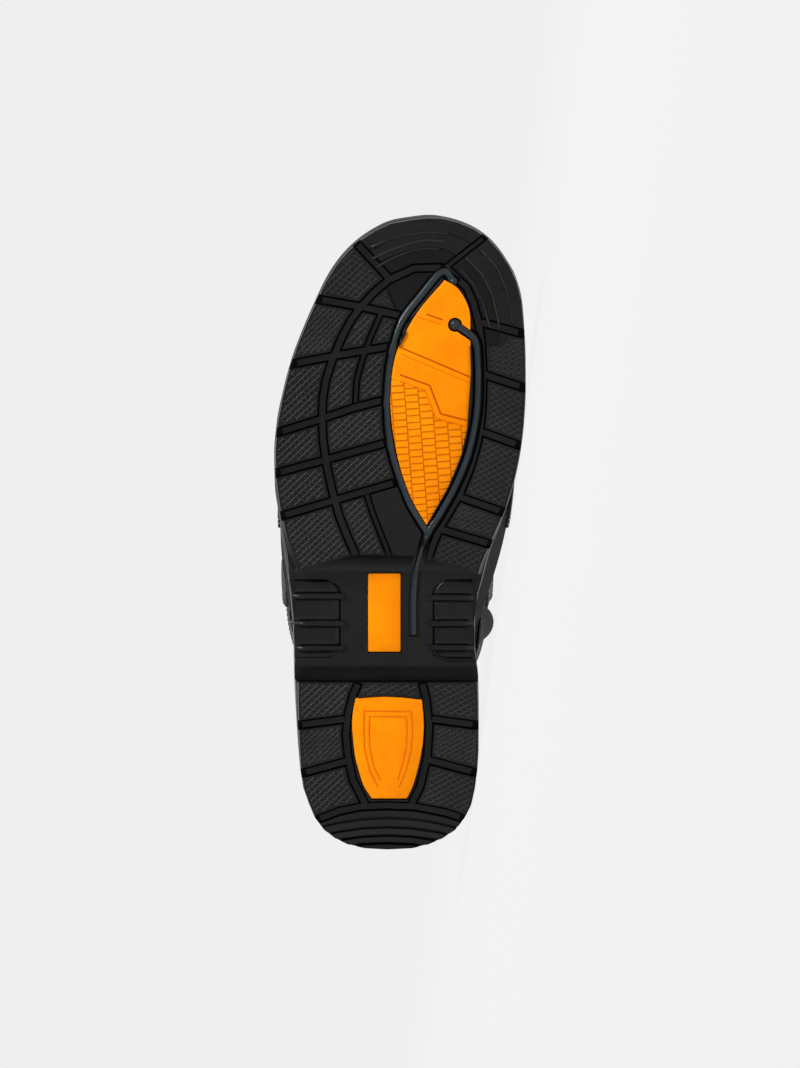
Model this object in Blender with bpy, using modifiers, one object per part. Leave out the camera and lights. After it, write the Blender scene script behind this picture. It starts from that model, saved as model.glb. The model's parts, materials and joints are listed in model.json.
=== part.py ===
"""Rigger boot for the right foot, lying on its inner side.

The boot is built standing: x to the outer side, y to the toe, z up, with its tread on z = 0.
It is laid down last, on the edge of its sole and the side of its shaft.
"""

import math

import bmesh
import bpy
from mathutils import Matrix, Vector

MM = 0.001

# Whole boot
SOLE_LENGTH = 308.0 * MM
BALL_WIDTH = 120.7 * MM
BOOT_HEIGHT = 283.0 * MM
TOE_SPRING = 11.0 * MM
HEEL_BEVEL = 2.5 * MM

# Walls and fits
LEATHER = 2.1 * MM
OVERLAY = 1.2 * MM
FIT_GAP = 0.3 * MM
FEATHER_GAP = 1.8 * MM
INSOLE_EASE = 2.0 * MM
INSOLE_THICKNESS = 4.0 * MM

# Tread
LUG_DEPTH = 4.0 * MM
LUG_OVERLAP = 0.6 * MM
GROOVE_WIDTH = 4.8 * MM
RIB_WIDTH = 2.9 * MM
RIB_DROP = 1.0 * MM
TERRACE_STEP = 0.8 * MM
CHANNEL_WIDTH = 5.4 * MM
CHANNEL_DEPTH = 1.4 * MM
RIB_END_ROOM = 0.37 * MM
CHANNEL_RIB_WIDTH = 3.0 * MM
BEAD_HEIGHT = 3.0 * MM
LEAF_DROP = 1.0 * MM
SHIELD_DROP = 0.5 * MM
LEAF_ROOM = 0.5 * MM
SHIELD_ROOM = 0.6 * MM
EDGE_ROOM = 3.4 * MM
HEEL_RIDGE_WIDTH = 1.6 * MM
PATCH_DEPTH = 1.6 * MM
PATCH_RISE = 0.6 * MM

# Sole stack
ARCH_HEIGHT = 9.5 * MM
RIM_HEIGHT = 5.5 * MM
RIM_WIDTH = 3.0 * MM
SIDE_STEP = 0.9 * MM

# Pull loops
LOOP_HALF_WIDTH = 10.0 * MM
LOOP_THICKNESS = 2.0 * MM
LOOP_RISE = 9.0 * MM

# Points along one side of a sole loop and of an upper ring, and between points of a tread line
SOLE_STEPS = 34
UPPER_STEPS = 22
LIP_STEP = 9.0 * MM
GROOVE_STEP = 11.0 * MM
BEAD_STEP = 4.0 * MM

# Heights well below and well above the tread, where cutters end, and how far they run past an end
CUT_FROM = -5.0 * MM
CUT_TO = 10.0 * MM
CUT_REACH = 1.5 * MM
CHANNEL_REACH = 2.0 * MM

# Edges sharper than this stay sharp in the shading
SHARP_ANGLE = math.radians(30)

# Relative weights of the materials, for the face that the boot lies on
DENSITIES = {"outsole": 1.15, "midsole": 0.5, "upper": 0.95, "insole": 0.2}

# Rows: along as a share of the sole length from the back of the heel, then the outer and the
# inner side from the boot's axis as shares of the ball width, for the sole and for the upper
OUTLINE_COLUMNS = ("along", "sole_outer", "sole_inner", "upper_outer", "upper_inner")
OUTLINE = (
    (0.000, 0.000, 0.000, 0.000, 0.000),
    (0.004, 0.121, 0.133, 0.105, 0.105),
    (0.012, 0.180, 0.186, 0.158, 0.160),
    (0.025, 0.234, 0.252, 0.206, 0.212),
    (0.045, 0.284, 0.303, 0.252, 0.256),
    (0.075, 0.319, 0.343, 0.288, 0.293),
    (0.110, 0.347, 0.360, 0.312, 0.318),
    (0.160, 0.360, 0.371, 0.331, 0.337),
    (0.210, 0.368, 0.371, 0.345, 0.349),
    (0.270, 0.375, 0.369, 0.363, 0.358),
    (0.330, 0.378, 0.354, 0.385, 0.372),
    (0.380, 0.385, 0.355, 0.404, 0.400),
    (0.430, 0.399, 0.384, 0.422, 0.438),
    (0.480, 0.419, 0.418, 0.432, 0.470),
    (0.530, 0.431, 0.465, 0.434, 0.493),
    (0.580, 0.448, 0.505, 0.430, 0.505),
    (0.630, 0.450, 0.532, 0.422, 0.512),
    (0.680, 0.439, 0.547, 0.404, 0.515),
    (0.730, 0.413, 0.553, 0.376, 0.516),
    (0.780, 0.378, 0.552, 0.340, 0.513),
    (0.830, 0.329, 0.546, 0.292, 0.505),
    (0.870, 0.284, 0.537, 0.247, 0.493),
    (0.905, 0.240, 0.513, 0.200, 0.470),
    (0.935, 0.188, 0.471, 0.146, 0.430),
    (0.960, 0.125, 0.421, 0.081, 0.379),
    (0.980, 0.050, 0.354, 0.006, 0.313),
    (0.992, -0.019, 0.283, -0.055, 0.250),
    (0.998, -0.110, 0.220, -0.125, 0.205),
    (1.000, -0.168, 0.168, -0.168, 0.168),
)

# Rows: along, then how far the lug tops stay in from the edge of the sole at each side, in mm
TREAD_EDGE_COLUMNS = ("along", "outer", "inner")
TREAD_EDGE = (
    (0.00, 1.0, 1.0),
    (0.12, 1.2, 0.6),
    (0.27, 2.6, 1.0),
    (0.45, 6.6, 3.4),
    (0.50, 3.4, 1.8),
    (0.56, 1.4, 0.8),
    (0.75, 0.8, 0.6),
    (1.00, 1.2, 0.8),
)

# Rows: along, height of the seat under the foot and top of the outsole, in mm over the tread
SOLE_HEIGHT_COLUMNS = ("along", "seat", "plate")
SOLE_HEIGHTS = (
    (0.00, 31.0, 15.5),
    (0.25, 30.5, 15.5),
    (0.36, 28.2, 15.0),
    (0.45, 24.0, 13.4),
    (0.52, 20.4, 9.6),
    (0.58, 18.0, 8.2),
    (0.66, 16.2, 7.8),
    (1.00, 15.5, 7.8),
)

# Rows of the upper, from the feather edge to the collar. back and front are y and z in mm of the
# ends of a ring, rise is its height over the sole's rim, outer and inner its half widths, widest
# where along the ring, blunt its fullness at the back and at the front, and foot the share that
# it keeps of the foot's own outline
UPPER_COLUMNS = (
    "back_y",
    "back_z",
    "front_y",
    "front_z",
    "rise",
    "outer",
    "inner",
    "widest",
    "blunt_back",
    "blunt_front",
    "foot",
)
UPPER_RINGS = (
    (5.0, 37.0, 302.8, 22.0, 4.0, 52.0, 58.0, 0.62, 2.2, 2.2, 1.00),
    (4.0, 45.0, 303.8, 32.0, 9.0, 52.0, 58.0, 0.62, 2.2, 2.2, 1.00),
    (3.4, 54.0, 304.2, 45.0, 20.0, 52.0, 58.0, 0.62, 2.2, 2.2, 1.00),
    (3.6, 63.0, 302.0, 60.0, 31.0, 51.0, 57.0, 0.62, 2.2, 2.2, 0.98),
    (4.6, 73.0, 295.0, 74.0, 41.5, 49.5, 54.0, 0.60, 2.2, 2.2, 0.88),
    (6.4, 83.0, 280.0, 85.5, 50.5, 47.0, 49.5, 0.57, 2.2, 2.1, 0.68),
    (8.8, 94.0, 257.0, 95.5, 60.0, 45.0, 46.0, 0.53, 2.2, 2.1, 0.42),
    (11.8, 107.0, 230.0, 107.5, 71.0, 43.5, 43.5, 0.50, 2.2, 2.1, 0.20),
    (15.0, 122.0, 204.0, 123.5, 84.0, 43.0, 42.5, 0.49, 2.2, 2.1, 0.06),
    (17.6, 142.0, 187.0, 143.0, 100.0, 44.0, 43.0, 0.50, 2.2, 2.2, 0.00),
    (19.4, 168.0, 178.5, 168.0, 126.0, 47.2, 46.0, 0.51, 2.3, 2.3, 0.00),
    (20.0, 200.0, 175.0, 201.0, 158.0, 51.0, 49.6, 0.52, 2.4, 2.4, 0.00),
    (19.6, 240.0, 174.0, 243.0, 198.0, 55.4, 53.6, 0.53, 2.5, 2.5, 0.00),
    (19.0, 275.0, 174.5, 283.0, 238.0, 58.6, 56.6, 0.53, 2.5, 2.5, 0.00),
)
RINGS_BETWEEN = 2

# Edge of the vamp and of the heel counter from the side: y and z in mm
VAMP_EDGE = (
    (161.0, 10.0),
    (160.5, 42.0),
    (163.0, 72.0),
    (167.5, 98.0),
    (170.0, 122.0),
    (168.0, 140.0),
    (172.0, 151.0),
    (190.0, 156.0),
)
COUNTER_EDGE = (
    (78.0, 10.0),
    (75.0, 45.0),
    (66.0, 70.0),
    (48.0, 92.0),
    (24.0, 106.0),
    (-6.0, 110.0),
)

# Lines of the tread, as along and across shares: along from the back of the heel over the sole
# length, across from the axis over the ball width with the outer side positive
GROOVES = {
    "outer_long": ((0.920, -0.212), (0.919, -0.108), (0.901, -0.006), (0.860, 0.104), (0.814, 0.177),
                   (0.748, 0.241), (0.687, 0.257), (0.618, 0.241), (0.535, 0.190), (0.473, 0.124)),
    "inner_long": ((0.918, -0.239), (0.890, -0.315), (0.832, -0.365), (0.742, -0.380),
                   (0.651, -0.361), (0.571, -0.292), (0.517, -0.212), (0.465, -0.162)),
    "outer_1": ((0.957, 0.118), (0.905, -0.006)),
    "outer_2": ((0.876, 0.340), (0.860, 0.104), (0.845, -0.067)),
    "outer_3": ((0.766, 0.450), (0.784, 0.213), (0.799, -0.010)),
    "outer_4": ((0.657, 0.500), (0.686, 0.263), (0.703, 0.137), (0.715, 0.024)),
    "outer_5": ((0.593, 0.520), (0.623, 0.241), (0.648, 0.014)),
    "outer_6": ((0.526, 0.490), (0.559, 0.210), (0.586, -0.023)),
    "inner_1": ((0.836, -0.372), (0.813, -0.590)),
    "inner_2": ((0.755, -0.388), (0.729, -0.590)),
    "inner_3": ((0.667, -0.372), (0.636, -0.590)),
    "inner_4": ((0.564, -0.292), (0.530, -0.540)),
    "inner_5": ((0.513, -0.219), (0.480, -0.500)),
    "heel_outer_1": ((0.200, 0.420), (0.213, 0.173)),
    "heel_outer_2": ((0.118, 0.420), (0.146, 0.162)),
    "heel_inner_1": ((0.213, -0.181), (0.200, -0.430)),
    "heel_inner_2": ((0.148, -0.165), (0.120, -0.430)),
    "shield_outer": ((0.268, 0.118), (0.253, 0.135), (0.220, 0.157), (0.190, 0.165),
                     (0.154, 0.157), (0.116, 0.137), (0.074, 0.084)),
    "shield_inner": ((0.268, -0.143), (0.245, -0.157), (0.203, -0.169), (0.154, -0.162),
                     (0.105, -0.133), (0.074, -0.094)),
    "heel_back": ((0.030, 0.360), (0.053, 0.277), (0.066, 0.193), (0.073, 0.108), (0.075, 0.000),
                  (0.073, -0.112), (0.064, -0.233), (0.055, -0.301), (0.034, -0.400)),
}
NARROW_GROOVES = {
    "split_front": ((0.849, 0.024), (0.799, 0.080), (0.745, 0.120), (0.712, 0.125)),
    "split_rear": ((0.568, 0.080), (0.536, 0.054), (0.472, -0.010)),
    "toe": ((0.920, -0.232), (0.980, -0.430)),
}

# Leaf between the long ribs, and the bead that runs round it
LEAF = (
    (0.901, -0.229),
    (0.849, -0.118),
    (0.791, -0.040),
    (0.733, -0.016),
    (0.679, -0.020),
    (0.618, -0.048),
    (0.563, -0.096),
    (0.520, -0.158),
    (0.579, -0.243),
    (0.629, -0.295),
    (0.671, -0.318),
    (0.755, -0.333),
    (0.808, -0.329),
    (0.852, -0.335),
    (0.888, -0.280),
)
LEAF_BEAD_OUTER = (
    (0.899, -0.265),
    (0.914, -0.221),
    (0.877, -0.135),
    (0.832, -0.052),
    (0.768, -0.010),
    (0.715, -0.001),
    (0.677, -0.003),
    (0.629, -0.023),
    (0.586, -0.059),
    (0.553, -0.092),
    (0.507, -0.163),
)
LEAF_BEAD_INNER = (
    (0.832, -0.270),
    (0.816, -0.340),
    (0.805, -0.354),
    (0.768, -0.361),
    (0.715, -0.360),
    (0.677, -0.349),
    (0.634, -0.325),
    (0.599, -0.292),
    (0.566, -0.252),
    (0.536, -0.209),
    (0.507, -0.163),
    (0.482, -0.142),
    (0.450, -0.119),
    (0.429, -0.112),
    (0.393, -0.107),
    (0.346, -0.108),
)
WAIST_PATCH = ((0.315, 0.077), (0.441, 0.077), (0.441, -0.056), (0.315, -0.056))
SHIELD = (
    (0.246, 0.125),
    (0.249, 0.028),
    (0.248, -0.052),
    (0.244, -0.140),
    (0.214, -0.147),
    (0.190, -0.147),
    (0.154, -0.136),
    (0.110, -0.108),
    (0.086, -0.080),
    (0.086, 0.061),
    (0.110, 0.098),
    (0.154, 0.129),
    (0.197, 0.140),
    (0.226, 0.136),
)

# Terraces of the toe block and of the back of the heel: each line is the lip of one step
TOE_TERRACES = (
    ((0.948, 0.075), (0.962, 0.004), (0.970, -0.052), (0.976, -0.153), (0.974, -0.241),
     (0.956, -0.345), (0.920, -0.434), (0.884, -0.474), (0.851, -0.494), (0.822, -0.504)),
    ((0.929, 0.035), (0.943, -0.052), (0.952, -0.153), (0.950, -0.219), (0.938, -0.290),
     (0.909, -0.378), (0.877, -0.418), (0.844, -0.438), (0.826, -0.446)),
)
HEEL_RIDGES = (0.056, 0.041, 0.027, 0.014)
HEEL_RIDGE_DROP = 0.020

# Rows: side profile of the hollow under the arch, along in shares and height in mm
ARCH_PROFILE = (
    (0.2715, 12.6),
    (0.2915, 12.6),
    (0.2925, 9.5),
    (0.4450, 9.5),
    (0.4600, 7.6),
    (0.4900, 4.0),
)

# Rows: pads of the arch, along from and to, across from and to, then the lines of their ribs
ARCH_PADS = (
    (0.307, 0.431, 0.185, 0.520, (0.404, 0.361, 0.321)),
    (0.299, 0.431, -0.181, -0.520, (0.402, 0.361, 0.322)),
)
PAD_DROP = 1.3 * MM
PAD_TURN = 0.06
PAD_CUT_OFF = 0.012
PAD_RIB_WIDTH = 2.6 * MM
PAD_RIB_RISE = 0.9 * MM
PAD_RIB_ROOT = 2.4 * MM
PAD_RIB_ROOM = 3.2 * MM

# The arch between the heel's lugs and the forefoot's, where no lug stands
ARCH_AREA = (
    (0.2715, 0.7),
    (0.450, 0.7),
    (0.448, 0.345),
    (0.474, 0.137),
    (0.472, -0.112),
    (0.466, -0.180),
    (0.443, -0.365),
    (0.440, -0.7),
    (0.2715, -0.7),
)
TERRACE_INSIDE = ((0.80, -0.44), (0.80, -0.10), (0.90, 0.02))
LEAF_STEP_LINE = ((0.800, -0.05), (0.757, -0.40))
LEAF_STEP_WIDTH = 2.4 * MM
LEAF_STEP_DEPTH = 0.6 * MM
STEM_POINTS = 2
TAIL_START = 10
RECESS_POINTS = 14
TAIL_FROM = 0.502

# Colours of the plain model
COLOURS = {
    "black_rubber": ((0.022, 0.022, 0.023, 1.0), 0.55),
    "black_foam": ((0.030, 0.029, 0.030, 1.0), 0.70),
    "dark_leather": ((0.035, 0.034, 0.029, 1.0), 0.60),
    "orange_rubber": ((0.95, 0.27, 0.005, 1.0), 0.50),
    "grey_bead": ((0.040, 0.050, 0.055, 1.0), 0.30),
    "insole_cloth": ((0.09, 0.09, 0.09, 1.0), 0.90),
}


def column(rows, names, name):
    return [row[names.index(name)] for row in rows]


def smooth_curve(xs, ys):
    """A curve through the points that never overshoots them."""
    steps = [(ys[i + 1] - ys[i]) / (xs[i + 1] - xs[i]) for i in range(len(xs) - 1)]
    slopes = [steps[0]]
    for before, after in zip(steps, steps[1:]):
        slopes.append(0.0 if before * after <= 0 else 2 * before * after / (before + after))
    slopes.append(steps[-1])

    def value(x):
        x = min(max(x, xs[0]), xs[-1])
        i = max(k for k in range(len(xs) - 1) if xs[k] <= x)
        width = xs[i + 1] - xs[i]
        t = (x - xs[i]) / width
        return (
            ys[i] * (1 + 2 * t) * (1 - t) ** 2
            + ys[i + 1] * t * t * (3 - 2 * t)
            + width * slopes[i] * t * (1 - t) ** 2
            - width * slopes[i + 1] * t * t * (1 - t)
        )

    return value


def angle_of(share):
    """Shares near the heel's back and the toe lie closer together as angles."""
    return math.acos(1 - 2 * min(max(share, 0.0), 1.0))


OUTLINE_ANGLES = [angle_of(v) for v in column(OUTLINE, OUTLINE_COLUMNS, "along")]
SIDES = {
    name: smooth_curve(OUTLINE_ANGLES, column(OUTLINE, OUTLINE_COLUMNS, name))
    for name in OUTLINE_COLUMNS[1:]
}
EDGE_INSET = {
    name: smooth_curve(
        column(TREAD_EDGE, TREAD_EDGE_COLUMNS, "along"), column(TREAD_EDGE, TREAD_EDGE_COLUMNS, name)
    )
    for name in ("outer", "inner")
}
HEIGHT = {
    name: smooth_curve(
        column(SOLE_HEIGHTS, SOLE_HEIGHT_COLUMNS, "along"),
        column(SOLE_HEIGHTS, SOLE_HEIGHT_COLUMNS, name),
    )
    for name in ("seat", "plate")
}
SPRING_START = 0.72
BEVEL_END = 0.05
LIFT_STATIONS = [0.0, 0.017, 0.033, BEVEL_END, SPRING_START] + [
    SPRING_START + (1 - SPRING_START) * k / 7 for k in range(1, 8)
]


def lift_at(share):
    if share > SPRING_START:
        return TOE_SPRING * ((share - SPRING_START) / (1 - SPRING_START)) ** 1.8
    if share < BEVEL_END:
        return HEEL_BEVEL * ((BEVEL_END - share) / BEVEL_END) ** 1.5
    return 0.0


def lift(y):
    """Toe spring and heel bevel, straight between the stations."""
    share = min(max(y / SOLE_LENGTH, 0.0), 1.0)
    for low, high in zip(LIFT_STATIONS, LIFT_STATIONS[1:]):
        if share <= high:
            t = (share - low) / (high - low)
            return lift_at(low) * (1 - t) + lift_at(high) * t
    return lift_at(1.0)


def spot(along, across):
    return Vector((across * BALL_WIDTH, along * SOLE_LENGTH))


def spots(line):
    return [spot(*p) for p in line]


def spaced(points, step):
    """Points on a smooth curve through the given ones, about one step apart."""
    if len(points) == 2:
        return [Vector(p) for p in points]
    ends = [2 * points[0] - points[1]] + list(points) + [2 * points[-1] - points[-2]]
    out = [points[0].copy()]
    for i in range(1, len(ends) - 2):
        a, b, c, d = ends[i - 1], ends[i], ends[i + 1], ends[i + 2]
        count = max(1, round((c - b).length / step))
        for k in range(1, count + 1):
            t = k / count
            out.append(
                0.5
                * (
                    2 * b
                    + (c - a) * t
                    + (2 * a - 5 * b + 4 * c - d) * t * t
                    + (3 * b - a - 3 * c + d) * t**3
                )
            )
    return out


def sole_loop(outer, inner, inset_outer, inset_inner, steps=SOLE_STEPS):
    """Closed loop in plan, from the back of the heel up the outer side and down the inner."""
    points = []
    for k in range(2 * steps):
        up = k <= steps
        angle = math.pi * (k if up else 2 * steps - k) / steps
        share = (1 - math.cos(angle)) / 2
        name = outer if up else inner
        sign = 1 if up else -1
        points.append(Vector((sign * SIDES[name](angle) * BALL_WIDTH, share * SOLE_LENGTH)))
    moved = []
    for k, point in enumerate(points):
        share = point.y / SOLE_LENGTH
        along = (points[(k + 1) % len(points)] - points[k - 1]).normalized()
        outward = Vector((along.y, -along.x))
        inset = inset_outer(share) if k <= steps else inset_inner(share)
        moved.append(point - outward * inset)
    return moved


def even(value):
    return lambda share: value


def solid(name, bm, material=None, bent=False):
    mesh = bpy.data.meshes.new(name)
    bmesh.ops.remove_doubles(bm, verts=bm.verts, dist=0.00001)
    bmesh.ops.recalc_face_normals(bm, faces=bm.faces)
    if bent:
        bmesh.ops.triangulate(bm, faces=bm.faces)
    bm.to_mesh(mesh)
    bm.free()
    obj = bpy.data.objects.new(name, mesh)
    (BOOT if material else CUTTERS).objects.link(obj)
    if material:
        obj.data.materials.append(MATERIALS[material])
    return obj


def stack(name, levels, material=None):
    """Closed solid through loops of equal count, each with its own heights, capped across."""
    bm = bmesh.new()
    rings = [
        [bm.verts.new((p.x, p.y, height(p))) for p in loop] for loop, height in levels
    ]
    count = len(rings[0])
    for low, high in zip(rings, rings[1:]):
        for k in range(count):
            n = (k + 1) % count
            bm.faces.new((low[k], low[n], high[n], high[k]))
    for ring in (rings[0], rings[-1]):
        half = count // 2
        for k in range(half):
            quad = [ring[k], ring[k + 1], ring[count - k - 1], ring[(count - k) % count]]
            bm.faces.new(list(dict.fromkeys(quad)))
    return solid(name, bm, material, bent=True)


def prism(name, points, low, high, material=None):
    """Upright prism over a closed outline in plan."""
    bm = bmesh.new()
    face = bm.faces.new([bm.verts.new((p.x, p.y, low)) for p in points])
    up = bmesh.ops.extrude_face_region(bm, geom=[face])["geom"]
    bmesh.ops.translate(
        bm, verts=[v for v in up if isinstance(v, bmesh.types.BMVert)], vec=(0, 0, high - low)
    )
    return solid(name, bm, material)


def side_prism(name, points):
    """Prism across the whole boot over a closed outline seen from the side."""
    bm = bmesh.new()
    face = bm.faces.new([bm.verts.new((-BALL_WIDTH, y, z)) for y, z in points])
    up = bmesh.ops.extrude_face_region(bm, geom=[face])["geom"]
    bmesh.ops.translate(
        bm, verts=[v for v in up if isinstance(v, bmesh.types.BMVert)], vec=(2 * BALL_WIDTH, 0, 0)
    )
    return solid(name, bm)


def edges_of(path, width):
    left, right = [], []
    for i, point in enumerate(path):
        along = path[min(i + 1, len(path) - 1)] - path[max(i - 1, 0)]
        side = Vector((-along.y, along.x)).normalized() * width / 2
        left.append(point + side)
        right.append(point - side)
    return left, right


def ribbon(name, path, width, low, high, material=None):
    """Strip of even width along a path in plan."""
    left, right = edges_of(path, width)
    return prism(name, right + left[::-1], low, high, material)


def sloped_ribbon(name, path, width, low, high, material=None):
    """Strip along a path whose lower and upper heights follow the place along the sole."""
    left, right = edges_of(path, width)
    bm = bmesh.new()
    rows = [
        [
            bm.verts.new((a.x, a.y, low(c.y))),
            bm.verts.new((b.x, b.y, low(c.y))),
            bm.verts.new((b.x, b.y, high(c.y))),
            bm.verts.new((a.x, a.y, high(c.y))),
        ]
        for a, b, c in zip(left, right, path)
    ]
    for one, two in zip(rows, rows[1:]):
        for k in range(4):
            n = (k + 1) % 4
            bm.faces.new((one[k], one[n], two[n], two[k]))
    bm.faces.new(rows[0])
    bm.faces.new(rows[-1])
    return solid(name, bm, material, bent=True)


def extended(path, reach):
    """Path made a little longer at both ends."""
    first = path[0] + (path[0] - path[1]).normalized() * reach
    last = path[-1] + (path[-1] - path[-2]).normalized() * reach
    return [first] + path[1:-1] + [last]


def arch_height(y):
    """Height of the underside at the arch and ahead of it."""
    share = y / SOLE_LENGTH
    rows = ARCH_PROFILE[2:]
    if share <= rows[0][0]:
        return rows[0][1] * MM
    for (a, low), (b, high) in zip(rows, rows[1:]):
        if share <= b:
            return (low + (high - low) * (share - a) / (b - a)) * MM
    return rows[-1][1] * MM


def boolean(target, tool, operation):
    modifier = target.modifiers.new(operation.lower(), "BOOLEAN")
    modifier.operation = operation
    modifier.solver = "EXACT"
    modifier.object = tool
    graph = bpy.context.evaluated_depsgraph_get()
    mesh = bpy.data.meshes.new_from_object(target.evaluated_get(graph))
    target.modifiers.remove(modifier)
    old = target.data
    target.data = mesh
    bpy.data.meshes.remove(old)
    bpy.data.objects.remove(tool)


def cut(target, tool):
    boolean(target, tool, "DIFFERENCE")


def keep(target, tool):
    boolean(target, tool, "INTERSECT")


def fuse(target, tool):
    boolean(target, tool, "UNION")


def clean(obj, merge):
    """Merges slivers left by the cuts, and drops points in the middle of straight edges."""
    bm = bmesh.new()
    bm.from_mesh(obj.data)
    bmesh.ops.remove_doubles(bm, verts=bm.verts, dist=merge)
    bmesh.ops.dissolve_limit(
        bm, angle_limit=math.radians(0.3), verts=bm.verts, edges=bm.edges, delimit={"NORMAL"}
    )
    bm.to_mesh(obj.data)
    bm.free()


def bend(obj):
    """Gives a flat tread piece the toe spring and the heel bevel."""
    bm = bmesh.new()
    bm.from_mesh(obj.data)
    for share in LIFT_STATIONS[1:-1]:
        geometry = list(bm.verts) + list(bm.edges) + list(bm.faces)
        bmesh.ops.bisect_plane(
            bm, geom=geometry, dist=0.000001, plane_co=(0, share * SOLE_LENGTH, 0), plane_no=(0, 1, 0)
        )
    for vert in bm.verts:
        vert.co.z += lift(vert.co.y)
    bmesh.ops.triangulate(bm, faces=bm.faces)
    bm.to_mesh(obj.data)
    bm.free()


def make_outsole():
    def plate_top(p):
        return HEIGHT["plate"](p.y / SOLE_LENGTH) * MM

    def tread_loop(part):
        return sole_loop(
            "sole_outer",
            "sole_inner",
            lambda share: EDGE_INSET["outer"](share) * part * MM,
            lambda share: EDGE_INSET["inner"](share) * part * MM,
        )

    edge = sole_loop("sole_outer", "sole_inner", even(0.0), even(0.0))
    drawn_in = tread_loop(0.5)
    body = stack(
        "outsole", [(drawn_in, lambda p: LUG_DEPTH), (edge, plate_top)], "black_rubber"
    )
    lugs = stack(
        "lugs", [(tread_loop(1.0), lambda p: 0.0), (drawn_in, lambda p: LUG_DEPTH + LUG_OVERLAP)]
    )

    # The arch is free of lugs, and its hollow runs across between the heel and the forefoot
    arch = [(a * SOLE_LENGTH, h * MM) for a, h in ARCH_PROFILE]
    cut(body, side_prism("hollow", arch + [(arch[-1][0], CUT_FROM), (arch[0][0], CUT_FROM)]))
    cut(lugs, prism("arch_clear", spots(ARCH_AREA), CUT_FROM, CUT_TO))

    for number, line in enumerate(TOE_TERRACES):
        lip = spaced(spots(line), LIP_STEP)
        depth = TERRACE_STEP * (number + 1)
        cut(lugs, prism("terrace", lip + spots(TERRACE_INSIDE), CUT_FROM, depth))
    for number, line in enumerate(HEEL_RIDGES):
        lip = [
            spot(line - HEEL_RIDGE_DROP * (k / 4) ** 2 * 1.6, 0.1 * k) for k in range(-4, 5)
        ]
        cut(lugs, ribbon("ridge", lip, HEEL_RIDGE_WIDTH, CUT_FROM, (1.3 + 0.1 * number) * MM))
    for line in GROOVES.values():
        path = extended(spaced(spots(line), GROOVE_STEP), CUT_REACH)
        cut(lugs, ribbon("groove", path, GROOVE_WIDTH, CUT_FROM, CUT_TO))
    for line in NARROW_GROOVES.values():
        path = extended(spaced(spots(line), GROOVE_STEP), CUT_REACH)
        cut(lugs, ribbon("groove", path, 0.75 * GROOVE_WIDTH, CUT_FROM, CUT_TO))

    # The leaf and its bead lie in one recess, and the shield in another
    cut(lugs, prism("leaf_clear", spots(LEAF), CUT_FROM, CUT_TO))
    for channel in bead_channels(0.0):
        cut(lugs, channel)
    cut(lugs, prism("shield_clear", grown(spots(SHIELD), 0.5 * MM), CUT_FROM, CUT_TO))

    # Pads of the arch, sunk by a step
    for start, end, near, far, _ in ARCH_PADS:
        turn = math.copysign(PAD_TURN, near)
        pad = [
            spot(start, far),
            spot(end, far),
            spot(end, near + turn),
            spot(end - PAD_CUT_OFF, near),
            spot(start + PAD_CUT_OFF, near),
            spot(start, near + turn),
        ]
        cut(body, prism("pad", pad, CUT_FROM, ARCH_HEIGHT + PAD_DROP))
    patch = grown(spots(WAIST_PATCH), FIT_GAP)
    cut(body, prism("patch_clear", patch, CUT_FROM, ARCH_HEIGHT + PATCH_DEPTH))
    tail = extended(spaced(spots(LEAF_BEAD_INNER[TAIL_START:]), BEAD_STEP), CHANNEL_REACH)
    tail_channel = sloped_ribbon(
        "tail_channel",
        tail,
        CHANNEL_WIDTH,
        lambda y: CUT_FROM,
        lambda y: arch_height(y) + CHANNEL_DEPTH,
    )
    cut(body, tail_channel)

    fuse(body, lugs)
    for name, line in (GROOVES | NARROW_GROOVES).items():
        path = trimmed(spaced(spots(line), GROOVE_STEP))
        top = RIB_DROP if name.endswith("long") else RIB_DROP + 0.15 * MM
        if name.startswith("shield"):
            top = RIB_DROP + 0.3 * MM
        width = RIB_WIDTH * (0.6 if name in NARROW_GROOVES else 1.0)
        rib = ribbon("rib", path, width, top, LUG_DEPTH + 2.2 * MM)
        for channel in bead_channels(RIB_END_ROOM):
            cut(rib, channel)
        fuse(body, rib)
    for _, _, near, _, ribs in ARCH_PADS:
        sign = 1 if near > 0 else -1
        for line in ribs:
            outer = SIDES["sole_outer" if sign > 0 else "sole_inner"](angle_of(line))
            reach = sign * (outer - PAD_RIB_ROOM / BALL_WIDTH)
            path = [spot(line, near - 0.02 * sign), spot(line, reach)]
            low = ARCH_HEIGHT - PAD_RIB_RISE
            fuse(body, ribbon("pad_rib", path, PAD_RIB_WIDTH, low, ARCH_HEIGHT + PAD_RIB_ROOT))
    clean(body, 0.02 * MM)
    bend(body)
    return body


def bead_channels(room):
    """Room for the bead, to be cut from the lugs and from the ribs that run up to it."""
    tools = []
    for line, step in (
        (LEAF_BEAD_OUTER, LIP_STEP),
        (LEAF_BEAD_INNER[:RECESS_POINTS], BEAD_STEP),
    ):
        path = extended(spaced(spots(line), step), CHANNEL_REACH)
        tools.append(ribbon("channel", path, CHANNEL_WIDTH + 2 * room, CUT_FROM, CUT_TO))
    return tools


def grown(points, distance):
    """Closed outline moved outward by a small distance."""
    out = []
    area = sum(p.cross(q) for p, q in zip(points, points[1:] + points[:1]))
    turn = 1 if area > 0 else -1
    for i, point in enumerate(points):
        before = (point - points[i - 1]).normalized()
        after = (points[(i + 1) % len(points)] - point).normalized()
        side = Vector((before.y + after.y, -before.x - after.x)).normalized()
        reach = max(side.dot(Vector((before.y, -before.x))), 0.45)
        out.append(point + side * turn * distance / reach)
    return out


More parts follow.
